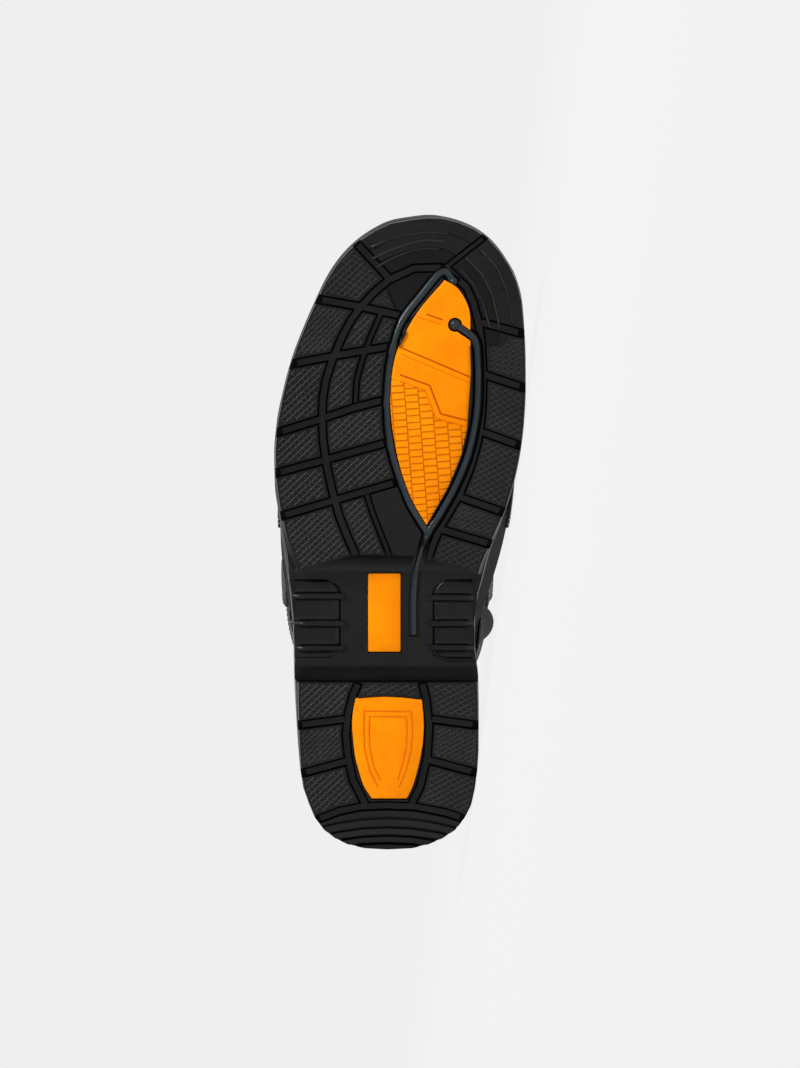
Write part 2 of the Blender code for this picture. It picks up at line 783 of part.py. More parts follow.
def inside_edge(point):
    """True where a rib still stops short of the sole's edge."""
    name = "sole_outer" if point.x > 0 else "sole_inner"
    side = SIDES[name](angle_of(point.y / SOLE_LENGTH)) * BALL_WIDTH
    return abs(point.x) < side - EDGE_ROOM


def trimmed(path):
    """Rib path that stops short of the sole's edge."""
    kept = [inside_edge(point) for point in path]
    out = [p for p, ok in zip(path, kept) if ok]
    first = kept.index(True)
    last = len(kept) - 1 - kept[::-1].index(True)
    for end, inner, outer in ((0, first, first - 1), (-1, last, last + 1)):
        if kept[end]:
            continue
        good, bad = path[inner], path[outer]
        low, high = 0.0, 1.0
        for _ in range(20):
            t = (low + high) / 2
            if inside_edge(good.lerp(bad, t)):
                low = t
            else:
                high = t
        end_point = good.lerp(bad, low)
        if (end_point - good).length > 1 * MM:
            out.insert(0 if end == 0 else len(out), end_point)
    return out


def make_inserts():
    """Orange inlays: the leaf of the forefoot, the patch of the waist and the heel's shield."""
    leaf = grown(spots(LEAF), -LEAF_ROOM)
    forefoot = prism(
        "forefoot_insert", leaf, LEAF_DROP, LUG_DEPTH - FIT_GAP, "orange_rubber"
    )
    step = ribbon(
        "leaf_step", spots(LEAF_STEP_LINE), LEAF_STEP_WIDTH, CUT_FROM, LEAF_DROP + LEAF_STEP_DEPTH
    )
    cut(forefoot, step)
    stem = extended(spots(LEAF_BEAD_INNER[:STEM_POINTS]), 2.4 * MM)
    cut(forefoot, ribbon("stem_room", stem, CHANNEL_RIB_WIDTH + 1.2 * MM, CUT_FROM, CUT_TO))
    waist = prism(
        "waist_insert",
        spots(WAIST_PATCH),
        ARCH_HEIGHT - PATCH_RISE,
        ARCH_HEIGHT + PATCH_DEPTH - FIT_GAP,
        "orange_rubber",
    )
    shield = grown(spots(SHIELD), 0.5 * MM - SHIELD_ROOM)
    heel = prism("heel_insert", shield, SHIELD_DROP, LUG_DEPTH - FIT_GAP, "orange_rubber")
    return [forefoot, waist, heel]


def make_bead():
    """Glossy bead round the leaf, with its tail along the arch."""
    outer = spaced(spots(LEAF_BEAD_OUTER), LIP_STEP)
    inner = spaced(spots(LEAF_BEAD_INNER), BEAD_STEP)

    def seat(y):
        share = y / SOLE_LENGTH
        if share > TAIL_FROM:
            return LUG_DEPTH - FIT_GAP
        return arch_height(y) + CHANNEL_DEPTH - FIT_GAP

    def crest(y):
        return seat(y) - BEAD_HEIGHT

    bead = sloped_ribbon("channel_bead", outer, CHANNEL_RIB_WIDTH, crest, seat, "grey_bead")
    fuse(
        bead,
        sloped_ribbon(
            "bead_inner",
            inner,
            CHANNEL_RIB_WIDTH,
            lambda y: crest(y) + 0.05 * MM,
            lambda y: seat(y) - 0.05 * MM,
        ),
    )
    return bead


def rings_of_upper():
    """Table rows, with smooth rows between them."""
    rows = UPPER_RINGS
    positions = [float(i) for i in range(len(rows))]
    curves = [smooth_curve(positions, column(rows, UPPER_COLUMNS, n)) for n in UPPER_COLUMNS]
    out = []
    for k in range((len(rows) - 1) * RINGS_BETWEEN + 1):
        t = k / RINGS_BETWEEN
        out.append(dict(zip(UPPER_COLUMNS, (curve(t) for curve in curves))))
    return out


HEIGHT_SHARE = BOOT_HEIGHT / (283.0 * MM)


def rim_height(y):
    share = min(max(y / SOLE_LENGTH, 0.0), 1.0)
    return HEIGHT["seat"](share) * MM + RIM_HEIGHT + lift(y)


def ring_points(row):
    """One ring of the upper's outer face, from the back round by the outer side."""
    long = SOLE_LENGTH / 308.0
    wide = BALL_WIDTH / 120.7
    back_y = row["back_y"] * long
    front_y = row["front_y"] * long
    points = []
    for k in range(2 * UPPER_STEPS):
        up = k <= UPPER_STEPS
        angle = math.pi * (k if up else 2 * UPPER_STEPS - k) / UPPER_STEPS
        share = (1 - math.cos(angle)) / 2
        sign = 1 if up else -1
        y = back_y + (front_y - back_y) * share

        # The foot's own outline, slimmer as the ring leaves the widest line of the foot
        name = "upper_outer" if up else "upper_inner"
        foot_x = sign * SIDES[name](angle) * BALL_WIDTH

        # The oval of the shaft
        widest = row["widest"]
        half = row["outer" if up else "inner"] * wide
        if share <= widest:
            reach = (widest - share) / widest
            blunt = row["blunt_back"]
        else:
            reach = (share - widest) / (1 - widest)
            blunt = row["blunt_front"]
        oval_x = sign * half * max(1 - reach**blunt, 0.0) ** (1 / blunt)
        drift = 0.168 * BALL_WIDTH * share**1.5 * (y / SOLE_LENGTH)
        foot = row["foot"]
        x = foot * foot_x + (1 - foot) * (oval_x - drift * min(1.0, 2.2 * foot + 0.10))

        flat = (row["back_z"] + (row["front_z"] - row["back_z"]) * share) * HEIGHT_SHARE * MM
        low = rim_height(y) + row["rise"] * MM
        ease = foot**0.5
        points.append(Vector((x, y, ease * low + (1 - ease) * flat)))
    return points


def feather_rings():
    """Rings inside the sole's rim, where the upper meets its seat."""
    inset = even(RIM_WIDTH + FEATHER_GAP)
    loop = sole_loop("sole_outer", "sole_inner", inset, inset, UPPER_STEPS)
    low = [
        Vector((p.x, p.y, rim_height(p.y) - RIM_HEIGHT + 2 * FIT_GAP))
        for p in loop
    ]
    high = [Vector((p.x, p.y, rim_height(p.y) - 0.2 * MM)) for p in loop]
    return [low, high]


def outer_face():
    """All rings of the upper's outer face; the first two lie in the rim of the sole."""
    return feather_rings() + [ring_points(row) for row in rings_of_upper()]


def face_normals(rings):
    count = len(rings[0])
    out = []
    for j, ring in enumerate(rings):
        below = rings[max(j - 1, 0)]
        above = rings[min(j + 1, len(rings) - 1)]
        row = []
        for k in range(count):
            around = ring[(k + 1) % count] - ring[k - 1]
            upward = above[k] - below[k]
            row.append(around.cross(upward).normalized())
        out.append(row)
    return out


def thicken(obj, thickness, offset):
    """Gives an open surface its wall; an offset of -1 puts the wall on the inner side."""
    wall = obj.modifiers.new("wall", "SOLIDIFY")
    wall.thickness = thickness
    wall.offset = offset
    wall.use_even_offset = True
    graph = bpy.context.evaluated_depsgraph_get()
    mesh = bpy.data.meshes.new_from_object(obj.evaluated_get(graph))
    obj.modifiers.remove(wall)
    open_surface = obj.data
    obj.data = mesh
    bpy.data.meshes.remove(open_surface)


def shell(name, rings, offset, wall, material=None):
    """Open shell of even wall, whose outer face lies an offset outside the rings."""
    normals = face_normals(rings)
    bm = bmesh.new()
    grid = [
        [bm.verts.new(p + n * offset) for p, n in zip(ring, row)] for ring, row in zip(rings, normals)
    ]
    count = len(rings[0])
    for low, high in zip(grid, grid[1:]):
        for k in range(count):
            n = (k + 1) % count
            bm.faces.new((low[k], low[n], high[n], high[k]))
    obj = solid(name, bm, material, bent=True)
    thicken(obj, wall, -1)
    return obj


def make_upper():
    """Hollow leather shell, with the vamp and the heel counter as steps in its wall."""
    rings = outer_face()
    upper = shell("upper", rings, 0.0, LEATHER, "dark_leather")
    scale = Matrix.Diagonal((1, SOLE_LENGTH / 308.0, HEIGHT_SHARE * MM))
    for name, edge, far in (
        ("vamp", VAMP_EDGE, ((340.0, 156.0), (340.0, 10.0))),
        ("counter", COUNTER_EDGE, ((-20.0, 110.0), (-20.0, 10.0))),
    ):
        outline = [(scale @ Vector((0, y, z))).yz for y, z in edge + far]
        raised = shell(name, rings[2:], OVERLAY, OVERLAY + 0.8 * MM)
        keep(raised, side_prism(name + "_area", outline))
        fuse(upper, raised)
    clean(upper, 0.002 * MM)
    return upper


def make_midsole():
    """Foam body of the sole: a shallow cup whose rim holds the foot of the upper."""
    def plate(p):
        return HEIGHT["plate"](min(max(p.y / SOLE_LENGTH, 0), 1)) * MM + FIT_GAP + lift(p.y)

    def seat(p):
        return HEIGHT["seat"](min(max(p.y / SOLE_LENGTH, 0), 1)) * MM + lift(p.y)

    def between(t):
        return lambda p: plate(p) * (1 - t) + (seat(p) + RIM_HEIGHT) * t

    def loop(inset):
        return sole_loop("sole_outer", "sole_inner", even(inset), even(inset))

    levels = [
        (loop(0.2 * MM), plate),
        (loop(0.0), between(0.34)),
        (loop(SIDE_STEP), between(0.40)),
        (loop(SIDE_STEP), between(0.52)),
        (loop(0.0), between(0.58)),
        (loop(0.0), between(0.90)),
        (loop(0.7 * MM), between(1.0)),
        (loop(RIM_WIDTH), between(1.0)),
        (loop(RIM_WIDTH), seat),
    ]
    return stack("midsole", levels, "black_foam")


def make_insole():
    inset = even(RIM_WIDTH + FEATHER_GAP + LEATHER + INSOLE_EASE)
    loop = sole_loop("sole_outer", "sole_inner", inset, inset)

    def seat(p):
        return HEIGHT["seat"](min(max(p.y / SOLE_LENGTH, 0), 1)) * MM + lift(p.y) + FIT_GAP

    return stack(
        "insole", [(loop, seat), (loop, lambda p: seat(p) + INSOLE_THICKNESS)], "insole_cloth"
    )


def make_pull_loop(name, index):
    """Strap folded over the collar at one side, standing up as a loop."""
    rings = outer_face()
    normals = face_normals(rings)
    collar = len(rings) - 1
    edge = rings[collar]
    out = LOOP_THICKNESS / 2 + FIT_GAP
    bm = bmesh.new()
    grid = []
    for step in (-2, -1, 0, 1, 2):
        # Each line of the strap runs down the shaft at its own place along the collar
        target = edge[index].y + step / 2 * LOOP_HALF_WIDTH
        near = min(range(index - 4, index + 5), key=lambda k: abs(edge[k].y - target))
        beyond = (edge[near + 1].y - target) * (edge[near].y - target) > 0
        other = near - 1 if beyond else near + 1
        gap = edge[other].y - edge[near].y
        t = (target - edge[near].y) / gap if abs(gap) > 1e-9 else 0.0

        def at(j, offset):
            a = rings[j][near] + normals[j][near] * offset
            b = rings[j][other] + normals[j][other] * offset
            return a.lerp(b, t)

        line = [at(j, out) for j in range(collar - 3, collar + 1)]
        line[0] = line[1].lerp(line[0], 0.35)
        across = (at(collar, out) - at(collar, -LEATHER - out)) / 2
        centre = (at(collar, out) + at(collar, -LEATHER - out)) / 2
        for turn in range(5):
            angle = math.pi * turn / 4
            rise = LOOP_RISE * (0.35 + 0.65 * math.sin(angle))
            line.append(centre + across * math.cos(angle) + Vector((0, 0, 1)) * rise)
        line += [at(j, -LEATHER - out) for j in range(collar, collar - 3, -1)]
        grid.append([bm.verts.new(p) for p in line])
    for a, b in zip(grid, grid[1:]):
        for k in range(len(a) - 1):
            bm.faces.new((a[k], a[k + 1], b[k + 1], b[k]))
    obj = solid(name, bm, "dark_leather")
    thicken(obj, LOOP_THICKNESS, 0)
    return obj


def centre_of_mass(pieces):
    weight = Vector((0, 0, 0))
    total = 0.0
    for obj in pieces:
        part = bmesh.new()
        part.from_mesh(obj.data)
        bmesh.ops.triangulate(part, faces=part.faces)
        for face in part.faces:
            a, b, c = (v.co for v in face.verts)
            volume = a.dot(b.cross(c)) / 6 * DENSITIES.get(obj.name, 1.0)
            weight += volume * (a + b + c) / 4
            total += volume
        part.free()
    return weight / total


def resting_face(pieces):
    """Way down through the face of the hull, on the inner side, that the boot's weight is over."""
    centre = centre_of_mass(pieces)
    bm = bmesh.new()
    for obj in pieces:
        for vert in obj.data.vertices:
            bm.verts.new(vert.co)
    bmesh.ops.convex_hull(bm, input=bm.verts)
    bmesh.ops.triangulate(bm, faces=bm.faces)
    best = None
    for face in bm.faces:
        normal = face.normal
        if normal.x > -0.9:
            continue
        distance = (face.verts[0].co - centre).dot(normal)
        foot = centre + normal * distance
        a, b, c = (v.co for v in face.verts)
        signs = [
            (q - p).cross(foot - p).dot(normal) for p, q in ((a, b), (b, c), (c, a))
        ]
        inside = min(signs) if sum(signs) > 0 else -max(signs)
        if best is None or inside > best[0]:
            best = (inside, normal.copy())
    bm.free()
    return best[1]


def lay_down(pieces):
    """Turns the standing boot onto its inner side and sets it on the floor."""
    down = resting_face(pieces)
    toe = Vector((0, 1, 0))
    forward = (toe - down * toe.dot(down)).normalized()
    across = (-down).cross(forward)
    turn = Matrix((forward, across, -down)).to_4x4()
    for obj in pieces:
        obj.data.transform(turn)
    corners = [v.co for obj in pieces for v in obj.data.vertices]
    low = Vector([min(p[i] for p in corners) for i in range(3)])
    high = Vector([max(p[i] for p in corners) for i in range(3)])
    shift = Matrix.Translation((-(low.x + high.x) / 2, -(low.y + high.y) / 2, -low.z))
    for obj in pieces:
        obj.data.transform(shift)
        obj.data.shade_smooth()
        obj.data.set_sharp_from_angle(angle=SHARP_ANGLE)


for old_object in list(bpy.data.objects):
    bpy.data.objects.remove(old_object)
BOOT = bpy.data.collections.new("rigger_boot")
bpy.context.scene.collection.children.link(BOOT)
CUTTERS = bpy.data.collections.new("cutters")
bpy.context.scene.collection.children.link(CUTTERS)
MATERIALS = {}
for material_name, (colour, roughness) in COLOURS.items():
    material = bpy.data.materials.new(material_name)
    material.use_nodes = True
    shader = material.node_tree.nodes["Principled BSDF"]
    shader.inputs["Base Color"].default_value = colour
    shader.inputs["Roughness"].default_value = roughness
    shader.inputs["Metallic"].default_value = 0.0
    MATERIALS[material_name] = material

outsole = make_outsole()
midsole = make_midsole()
insole = make_insole()
inserts = make_inserts()
bead = make_bead()
for flat_piece in inserts + [bead]:
    bend(flat_piece)
upper = make_upper()
loops = [
    make_pull_loop("pull_loop_outer", UPPER_STEPS // 2),
    make_pull_loop("pull_loop_inner", 2 * UPPER_STEPS - UPPER_STEPS // 2),
]
lay_down([outsole, midsole, insole, upper, bead] + inserts + loops)
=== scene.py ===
import json
import math

import bmesh
import bpy
import numpy as np
from mathutils import Matrix, Vector
from mathutils.bvhtree import BVHTree
from mathutils.kdtree import KDTree


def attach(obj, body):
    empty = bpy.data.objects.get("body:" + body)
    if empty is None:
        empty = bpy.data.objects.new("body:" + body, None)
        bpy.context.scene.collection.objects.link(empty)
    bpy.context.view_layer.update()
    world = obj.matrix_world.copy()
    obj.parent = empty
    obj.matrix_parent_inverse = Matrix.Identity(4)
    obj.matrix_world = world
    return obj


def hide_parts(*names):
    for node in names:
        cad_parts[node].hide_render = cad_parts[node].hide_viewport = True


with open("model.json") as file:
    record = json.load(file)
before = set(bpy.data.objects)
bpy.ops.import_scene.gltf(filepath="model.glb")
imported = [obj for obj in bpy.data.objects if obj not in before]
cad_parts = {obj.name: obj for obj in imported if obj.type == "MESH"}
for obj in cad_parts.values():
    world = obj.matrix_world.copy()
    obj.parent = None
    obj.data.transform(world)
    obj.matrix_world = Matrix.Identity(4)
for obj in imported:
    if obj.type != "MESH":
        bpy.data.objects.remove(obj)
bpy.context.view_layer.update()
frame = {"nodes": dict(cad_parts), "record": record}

# How the boot lies: it rests on its inner side, and the two flat spots of the tread, at the heel
# and under the ball, say where its own length, width and height point. From here on a place on
# the boot is x towards the outer side, y from the back of the heel to the toe and z up, in mm.
MM = 0.001
HEEL_SPOT = (30.175, 53.9)
BALL_SPOT = (43.452, 197.12)
MOUNTS = {mount["name"]: mount for mount in frame["record"]["mounts"]}
HEEL_POINT = Vector(MOUNTS["heel_tread"]["pos_m"])
BOOT_UP = -Vector(MOUNTS["heel_tread"]["axis"]).normalized()
to_ball = Vector(MOUNTS["forefoot_tread"]["pos_m"]) - HEEL_POINT
to_ball = (to_ball - BOOT_UP * to_ball.dot(BOOT_UP)).normalized()
lean = math.atan2(BALL_SPOT[0] - HEEL_SPOT[0], BALL_SPOT[1] - HEEL_SPOT[1])
TOE_WAY = Matrix.Rotation(lean, 3, BOOT_UP) @ to_ball
OUTER_WAY = TOE_WAY.cross(BOOT_UP)


def place(x, y, z):
    """World place, in metres, of a point of the boot given in mm."""
    across = OUTER_WAY * (x - HEEL_SPOT[0])
    along = TOE_WAY * (y - HEEL_SPOT[1])
    return HEEL_POINT + (across + along + BOOT_UP * z) * MM


def on_boot(point):
    """The boot's own x, y and z in mm of a world point."""
    away = (Vector(point) - HEEL_POINT) / MM
    return (
        away.dot(OUTER_WAY) + HEEL_SPOT[0],
        away.dot(TOE_WAY) + HEEL_SPOT[1],
        away.dot(BOOT_UP),
    )


# Outsole: one moulding of black rubber, with cut lugs, long ribs and an arch, glued under the
# midsole. Its shape is the solid's, merged, with the soft edges that a mould leaves.
# Rows: along the sole from the back of the heel, then the outer and inner sides of the sole and of
# the upper from the boot's axis, as shares of the sole's length and of the width at the ball
SOLE_OUTLINE = (
    (0.000, 0.000, 0.000, 0.000, 0.000),
    (0.004, 0.121, 0.133, 0.105, 0.105),
    (0.012, 0.180, 0.186, 0.158, 0.160),
    (0.025, 0.234, 0.252, 0.206, 0.212),
    (0.045, 0.284, 0.303, 0.252, 0.256),
    (0.075, 0.319, 0.343, 0.288, 0.293),
    (0.110, 0.347, 0.360, 0.312, 0.318),
    (0.160, 0.360, 0.371, 0.331, 0.337),
    (0.210, 0.368, 0.371, 0.345, 0.349),
    (0.270, 0.375, 0.369, 0.363, 0.358),
    (0.330, 0.378, 0.354, 0.385, 0.372),
    (0.380, 0.385, 0.355, 0.404, 0.400),
    (0.430, 0.399, 0.384, 0.422, 0.438),
    (0.480, 0.419, 0.418, 0.432, 0.470),
    (0.530, 0.431, 0.465, 0.434, 0.493),
    (0.580, 0.448, 0.505, 0.430, 0.505),
    (0.630, 0.450, 0.532, 0.422, 0.512),
    (0.680, 0.439, 0.547, 0.404, 0.515),
    (0.730, 0.413, 0.553, 0.376, 0.516),
    (0.780, 0.378, 0.552, 0.340, 0.513),
    (0.830, 0.329, 0.546, 0.292, 0.505),
    (0.870, 0.284, 0.537, 0.247, 0.493),
    (0.905, 0.240, 0.513, 0.200, 0.470),
    (0.935, 0.188, 0.471, 0.146, 0.430),
    (0.960, 0.125, 0.421, 0.081, 0.379),
    (0.980, 0.050, 0.354, 0.006, 0.313),
    (0.992, -0.019, 0.283, -0.055, 0.250),
    (0.998, -0.110, 0.220, -0.125, 0.205),
    (1.000, -0.168, 0.168, -0.168, 0.168),
)
SOLE_LENGTH = 308.0
BALL_WIDTH = 120.7
TOE_SPRING = 11.0
SPRING_FROM = 0.72
SPRING_POWER = 1.8
HEEL_BEVEL = 2.5
BEVEL_TO = 0.05
WALL_STEPS = 110
SIDE_BAND = (6.0, 20.0)


def held(value, low=0.0, high=1.0):
    return min(max(value, low), high)


def smooth_curve(xs, ys):
    """A curve through the points that never overshoots them."""
    steps = [(ys[i + 1] - ys[i]) / (xs[i + 1] - xs[i]) for i in range(len(xs) - 1)]
    slopes = [steps[0]]
    for before, after in zip(steps, steps[1:]):
        slopes.append(0.0 if before * after <= 0 else 2 * before * after / (before + after))
    slopes.append(steps[-1])

    def value(x):
        x = held(x, xs[0], xs[-1])
        i = max(k for k in range(len(xs) - 1) if xs[k] <= x)
        width = xs[i + 1] - xs[i]
        t = (x - xs[i]) / width
        return (
            ys[i] * (1 + 2 * t) * (1 - t) ** 2
            + ys[i + 1] * t * t * (3 - 2 * t)
            + width * slopes[i] * t * (1 - t) ** 2
            - width * slopes[i + 1] * t * t * (1 - t)
        )

    return value


def stretched(share):
    return math.acos(1 - 2 * share)


SIDE_CURVES = [
    smooth_curve([stretched(row[0]) for row in SOLE_OUTLINE], [row[k] for row in SOLE_OUTLINE])
    for k in range(1, 5)
]


def sole_ring(inset, height, steps=WALL_STEPS):
    """A closed ring of boot points a little inside the sole's edge, at a height that varies."""
    points = []
    for k in range(2 * steps):
        up = k <= steps
        angle = math.pi * (k if up else 2 * steps - k) / steps
        reach = SIDE_CURVES[0 if up else 1](angle) * (1 if up else -1)
        points.append(Vector((reach * BALL_WIDTH, (1 - math.cos(angle)) / 2 * SOLE_LENGTH, 0)))
    ring = []
    for k, point in enumerate(points):
        along = (points[(k + 1) % len(points)] - points[k - 1]).normalized()
        moved = point - Vector((along.y, -along.x, 0)) * inset
        ring.append((moved.x, moved.y, height(moved.y)))
    return ring


def tread_rise(y):
    """Height of the tread over its plane: the toe spring and the bevel of the heel."""
    share = held(y / SOLE_LENGTH)
    if share > SPRING_FROM:
        return TOE_SPRING * ((share - SPRING_FROM) / (1 - SPRING_FROM)) ** SPRING_POWER
    if share < BEVEL_TO:
        return HEEL_BEVEL * ((BEVEL_TO - share) / BEVEL_TO) ** 1.5
    return 0.0


def tread_lift(y):
    """The tread's rise in straight stretches, as the solids have it."""
    stations = [0.0, 0.017, 0.033, BEVEL_TO] + [SPRING_FROM + 0.04 * k for k in range(8)]
    share = held(y / SOLE_LENGTH)
    return float(np.interp(share, stations, [tread_rise(s * SOLE_LENGTH) for s in stations]))


def rounded_edge_lines(bm, cuts=3, near=0.12, longest=1.0):
    """Cuts the walls' straight stretches and moves the new points onto the true curved outline."""
    ring = [Vector(point) for point in sole_ring(0.0, lambda y: 0.0, 900)]
    guide = KDTree(len(ring))
    for k, point in enumerate(ring):
        guide.insert(point, k)
    guide.balance()

    def pulled(point):
        """How far off the outline a point is in plan, and the nearest place on the outline."""
        x, y = on_boot(point)[:2]
        spot = Vector((x, y, 0))
        k = guide.find(spot)[1]
        found = []
        for other in (k - 1, (k + 1) % len(ring)):
            side = ring[other] - ring[k]
            t = held((spot - ring[k]).dot(side) / side.length_squared)
            found.append(ring[k] + side * t)
        return min(((place_on - spot).length, tuple(place_on)) for place_on in found)

    on_line = set()
    for vert in bm.verts:
        x, y, z = on_boot(vert.co)
        if SIDE_BAND[0] < z - tread_lift(y) < SIDE_BAND[1] and pulled(vert.co)[0] < near:
            on_line.add(vert)
    edges = [
        e for e in bm.edges
        if e.verts[0] in on_line and e.verts[1] in on_line
        and 2.0 < (e.verts[0].co - e.verts[1].co).length / MM < 25.0
        and pulled((e.verts[0].co + e.verts[1].co) / 2)[0] < longest
    ]
    for edge in edges:
        last = edge.verts[0]
        made = []
        for k in range(cuts):
            last = bmesh.utils.edge_split(edge, last, 1 / (cuts + 1 - k))[1]
            made.append(last)
        for vert in made:
            x, y, z = on_boot(vert.co)
            found_x, found_y = pulled(vert.co)[1][:2]
            vert.co = place(found_x, found_y, z + tread_lift(found_y) - tread_lift(y))
    bmesh.ops.triangulate(bm, faces=[f for f in bm.faces if len(f.verts) > 4])


def finish_with(obj, material, slot, *nodes):
    """Gives a finished piece its material and the nodes it shows; its slot is not used."""
    obj.data.materials.clear()
    obj.data.materials.append(material)
    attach(obj, "root")
    if nodes:
        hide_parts(*nodes)
    return obj


def plain(obj):
    """Turns an object and its modifiers into a plain mesh."""
    graph = bpy.context.evaluated_depsgraph_get()
    mesh = bpy.data.meshes.new_from_object(obj.evaluated_get(graph))
    obj.modifiers.clear()
    obj.data = mesh
    return obj


def added(name, data):
    """A new object of the scene."""
    obj = bpy.data.objects.new(name, data)
    bpy.context.scene.collection.objects.link(obj)
    return obj


def object_of(bm, name):
    """Turns a bmesh into an object of the scene."""
    mesh = bpy.data.meshes.new(name)
    bm.to_mesh(mesh)
    bm.free()
    return added(name, mesh)


def bmesh_of(mesh):
    bm = bmesh.new()
    bm.from_mesh(mesh)
    return bm


def bevelled(obj, width_mm, degrees):
    """Rounds the edges that turn by more than an angle."""
    edge = obj.modifiers.new("edge", "BEVEL")
    edge.width = width_mm * MM
    edge.segments = 2
    edge.limit_method = "ANGLE"
    edge.angle_limit = math.radians(degrees)
    return plain(obj)


def smoothed(obj, degrees):
    """Smooth shading, but for edges that turn by more than an angle."""
    obj.data.shade_smooth()
    obj.data.set_sharp_from_angle(angle=math.radians(degrees))
    return obj


def soft_moulding(node, name, edge_mm, round_walls=False):
    """A merged copy of a solid with rounded edges and smooth sides."""
    mesh = frame["nodes"][node].data.copy()
    bm = bmesh_of(mesh)
    bmesh.ops.remove_doubles(bm, verts=bm.verts, dist=0.02 * MM)
    bmesh.ops.dissolve_limit(bm, angle_limit=math.radians(0.6), verts=bm.verts, edges=bm.edges)
    if round_walls:
        rounded_edge_lines(bm)
    bm.to_mesh(mesh)
    bm.free()
    mesh.name = name
    obj = added(name, mesh)
    smoothed(bevelled(obj, edge_mm, 28), 32)
    flat = obj.modifiers.new("flat_faces", "WEIGHTED_NORMAL")
    flat.keep_sharp = True
    return plain(obj)


outsole = soft_moulding("outsole", "outsole_moulding", 0.35, round_walls=True)

# Depths below the tread over which the rubber's painted groove shade comes in and fades
DEPTH_SCALE = 12.0
SHEEN_OF_TOPS = 0.26
SHEEN_OF_GROOVES = 0.07
GROOVE_STOPS = (0.06, 0.27, 0.55, 0.75)


def wire(tree, node, inputs):
    """Sets a node's inputs, each to a value or by a link from another node's output."""
    for socket, value in inputs.items():
        if isinstance(value, bpy.types.NodeSocket):
            tree.links.new(value, node.inputs[socket])
        else:
            node.inputs[socket].default_value = value


def add_node(tree, kind, inputs, **settings):
    """A new node with its settings and inputs."""
    node = tree.nodes.new(kind)
    for name, value in settings.items():
        setattr(node, name, value)
    wire(tree, node, inputs)
    return node


def bare_material(name):
    """A new material, its tree, its shader and the coordinates that its textures follow."""
    material = bpy.data.materials.new(name)
    material.use_nodes = True
    tree = material.node_tree
    where = add_node(tree, "ShaderNodeTexCoord", {}).outputs["Object"]
    return material, tree, tree.nodes["Principled BSDF"], where


def boot_axes(tree, where):
    """The coordinates along the boot's own axes, in metres."""
    turn = Matrix((OUTER_WAY, TOE_WAY, BOOT_UP)).transposed().to_euler()
    inputs = {"Vector": where, "Location": place(0, 0, 0), "Rotation": turn}
    return add_node(tree, "ShaderNodeMapping", inputs, vector_type="TEXTURE").outputs["Vector"]


def noise(tree, where, scale, detail=2.0, roughness=0.5):
    inputs = {"Vector": where, "Scale": scale, "Detail": detail, "Roughness": roughness}
    return add_node(tree, "ShaderNodeTexNoise", inputs).outputs["Fac"]


def mapped(tree, value, start, end, low=0.0, high=1.0):
    """A value taken from one range to another."""
    inputs = {"Value": value, "From Min": start, "From Max": end, "To Min": low, "To Max": high}
    return add_node(tree, "ShaderNodeMapRange", inputs).outputs["Result"]


def maths(tree, operation, *values):
    inputs = dict(enumerate(values))
    return add_node(tree, "ShaderNodeMath", inputs, operation=operation).outputs["Value"]


def tone(colour, share):
    return [c * share for c in colour] + [1]


def ramp(tree, value, *stops):
    """A colour ramp through stops, each a position and a colour."""
    node = add_node(tree, "ShaderNodeValToRGB", {"Fac": value})
    elements = node.color_ramp.elements
    for k, (position, colour) in enumerate(stops[:2]):
        elements[k].position = position
        elements[k].color = colour
    for position, colour in stops[2:]:
        elements.new(position).color = colour
    return node.outputs["Color"]


def mixed(tree, share, first, second, way="MIX"):
    """Two colours mixed by a share."""
    inputs = {"Factor": share, "A": first, "B": second}
    node = add_node(tree, "ShaderNodeMix", inputs, data_type="RGBA", blend_type=way)
    return node.outputs["Result"]


def bumped(tree, height, strength, distance, invert=False, **over):
    """A bump from a height, over another bump's Normal where one is given."""
    inputs = {"Height": height, "Strength": strength, "Distance": distance, **over}
    return add_node(tree, "ShaderNodeBump", inputs, invert=invert).outputs["Normal"]


def outsole_rubber(name, colour, roughness, grain=0.5, mottling=0.35, groove_shade_share=1.0):
    """Moulded black rubber: uneven, a little dusty, with painted shade deep in the grooves, and with
    mould grain.
    """
    material, tree, shader, where = bare_material(name)
    way = add_node(tree, "ShaderNodeSeparateXYZ", {"Vector": boot_axes(tree, where)}).outputs
    spring = mapped(tree, way["Y"], SPRING_FROM * SOLE_LENGTH * MM, SOLE_LENGTH * MM)
    bent = maths(tree, "POWER", spring, SPRING_POWER)
    height = maths(tree, "MULTIPLY_ADD", bent, -TOE_SPRING * MM, way["Z"])
    depth = mapped(tree, height, 0.0, DEPTH_SCALE * MM)
    shares = zip(GROOVE_STOPS, (0.0, groove_shade_share, groove_shade_share, 0.0))
    groove_shade_mask = ramp(tree, depth, *((at, (share, share, share, 1)) for at, share in shares))
    cloud = noise(tree, where, 38.0, 6.0, 0.62)
    shade = ramp(tree, cloud, (0.32, tone(colour, 1 - mottling)), (0.74, tone(colour, 1 + mottling)))
    speck = mapped(tree, noise(tree, where, 420.0, 3.0), 0.56, 0.80, 0.0, 0.18)
    dusted = mixed(tree, speck, shade, [min(c * 2.6 + 0.012, 1.0) for c in colour] + [1])
    wire(tree, shader, {
        # Painted shade: the base colour darkens to a quarter of itself in the grooves and hollows
        # below the tread
        "Base Color": mixed(tree, groove_shade_mask, dusted, tone(colour, 0.25)),
        "Specular IOR Level": mapped(tree, groove_shade_mask, 0.0, 1.0, SHEEN_OF_TOPS, SHEEN_OF_GROOVES),
        "Roughness": mapped(tree, cloud, 0.0, 1.0, roughness - 0.10, roughness + 0.14),
        "Normal": bumped(tree, noise(tree, where, 1500.0), grain, 0.00012),
    })
    return material


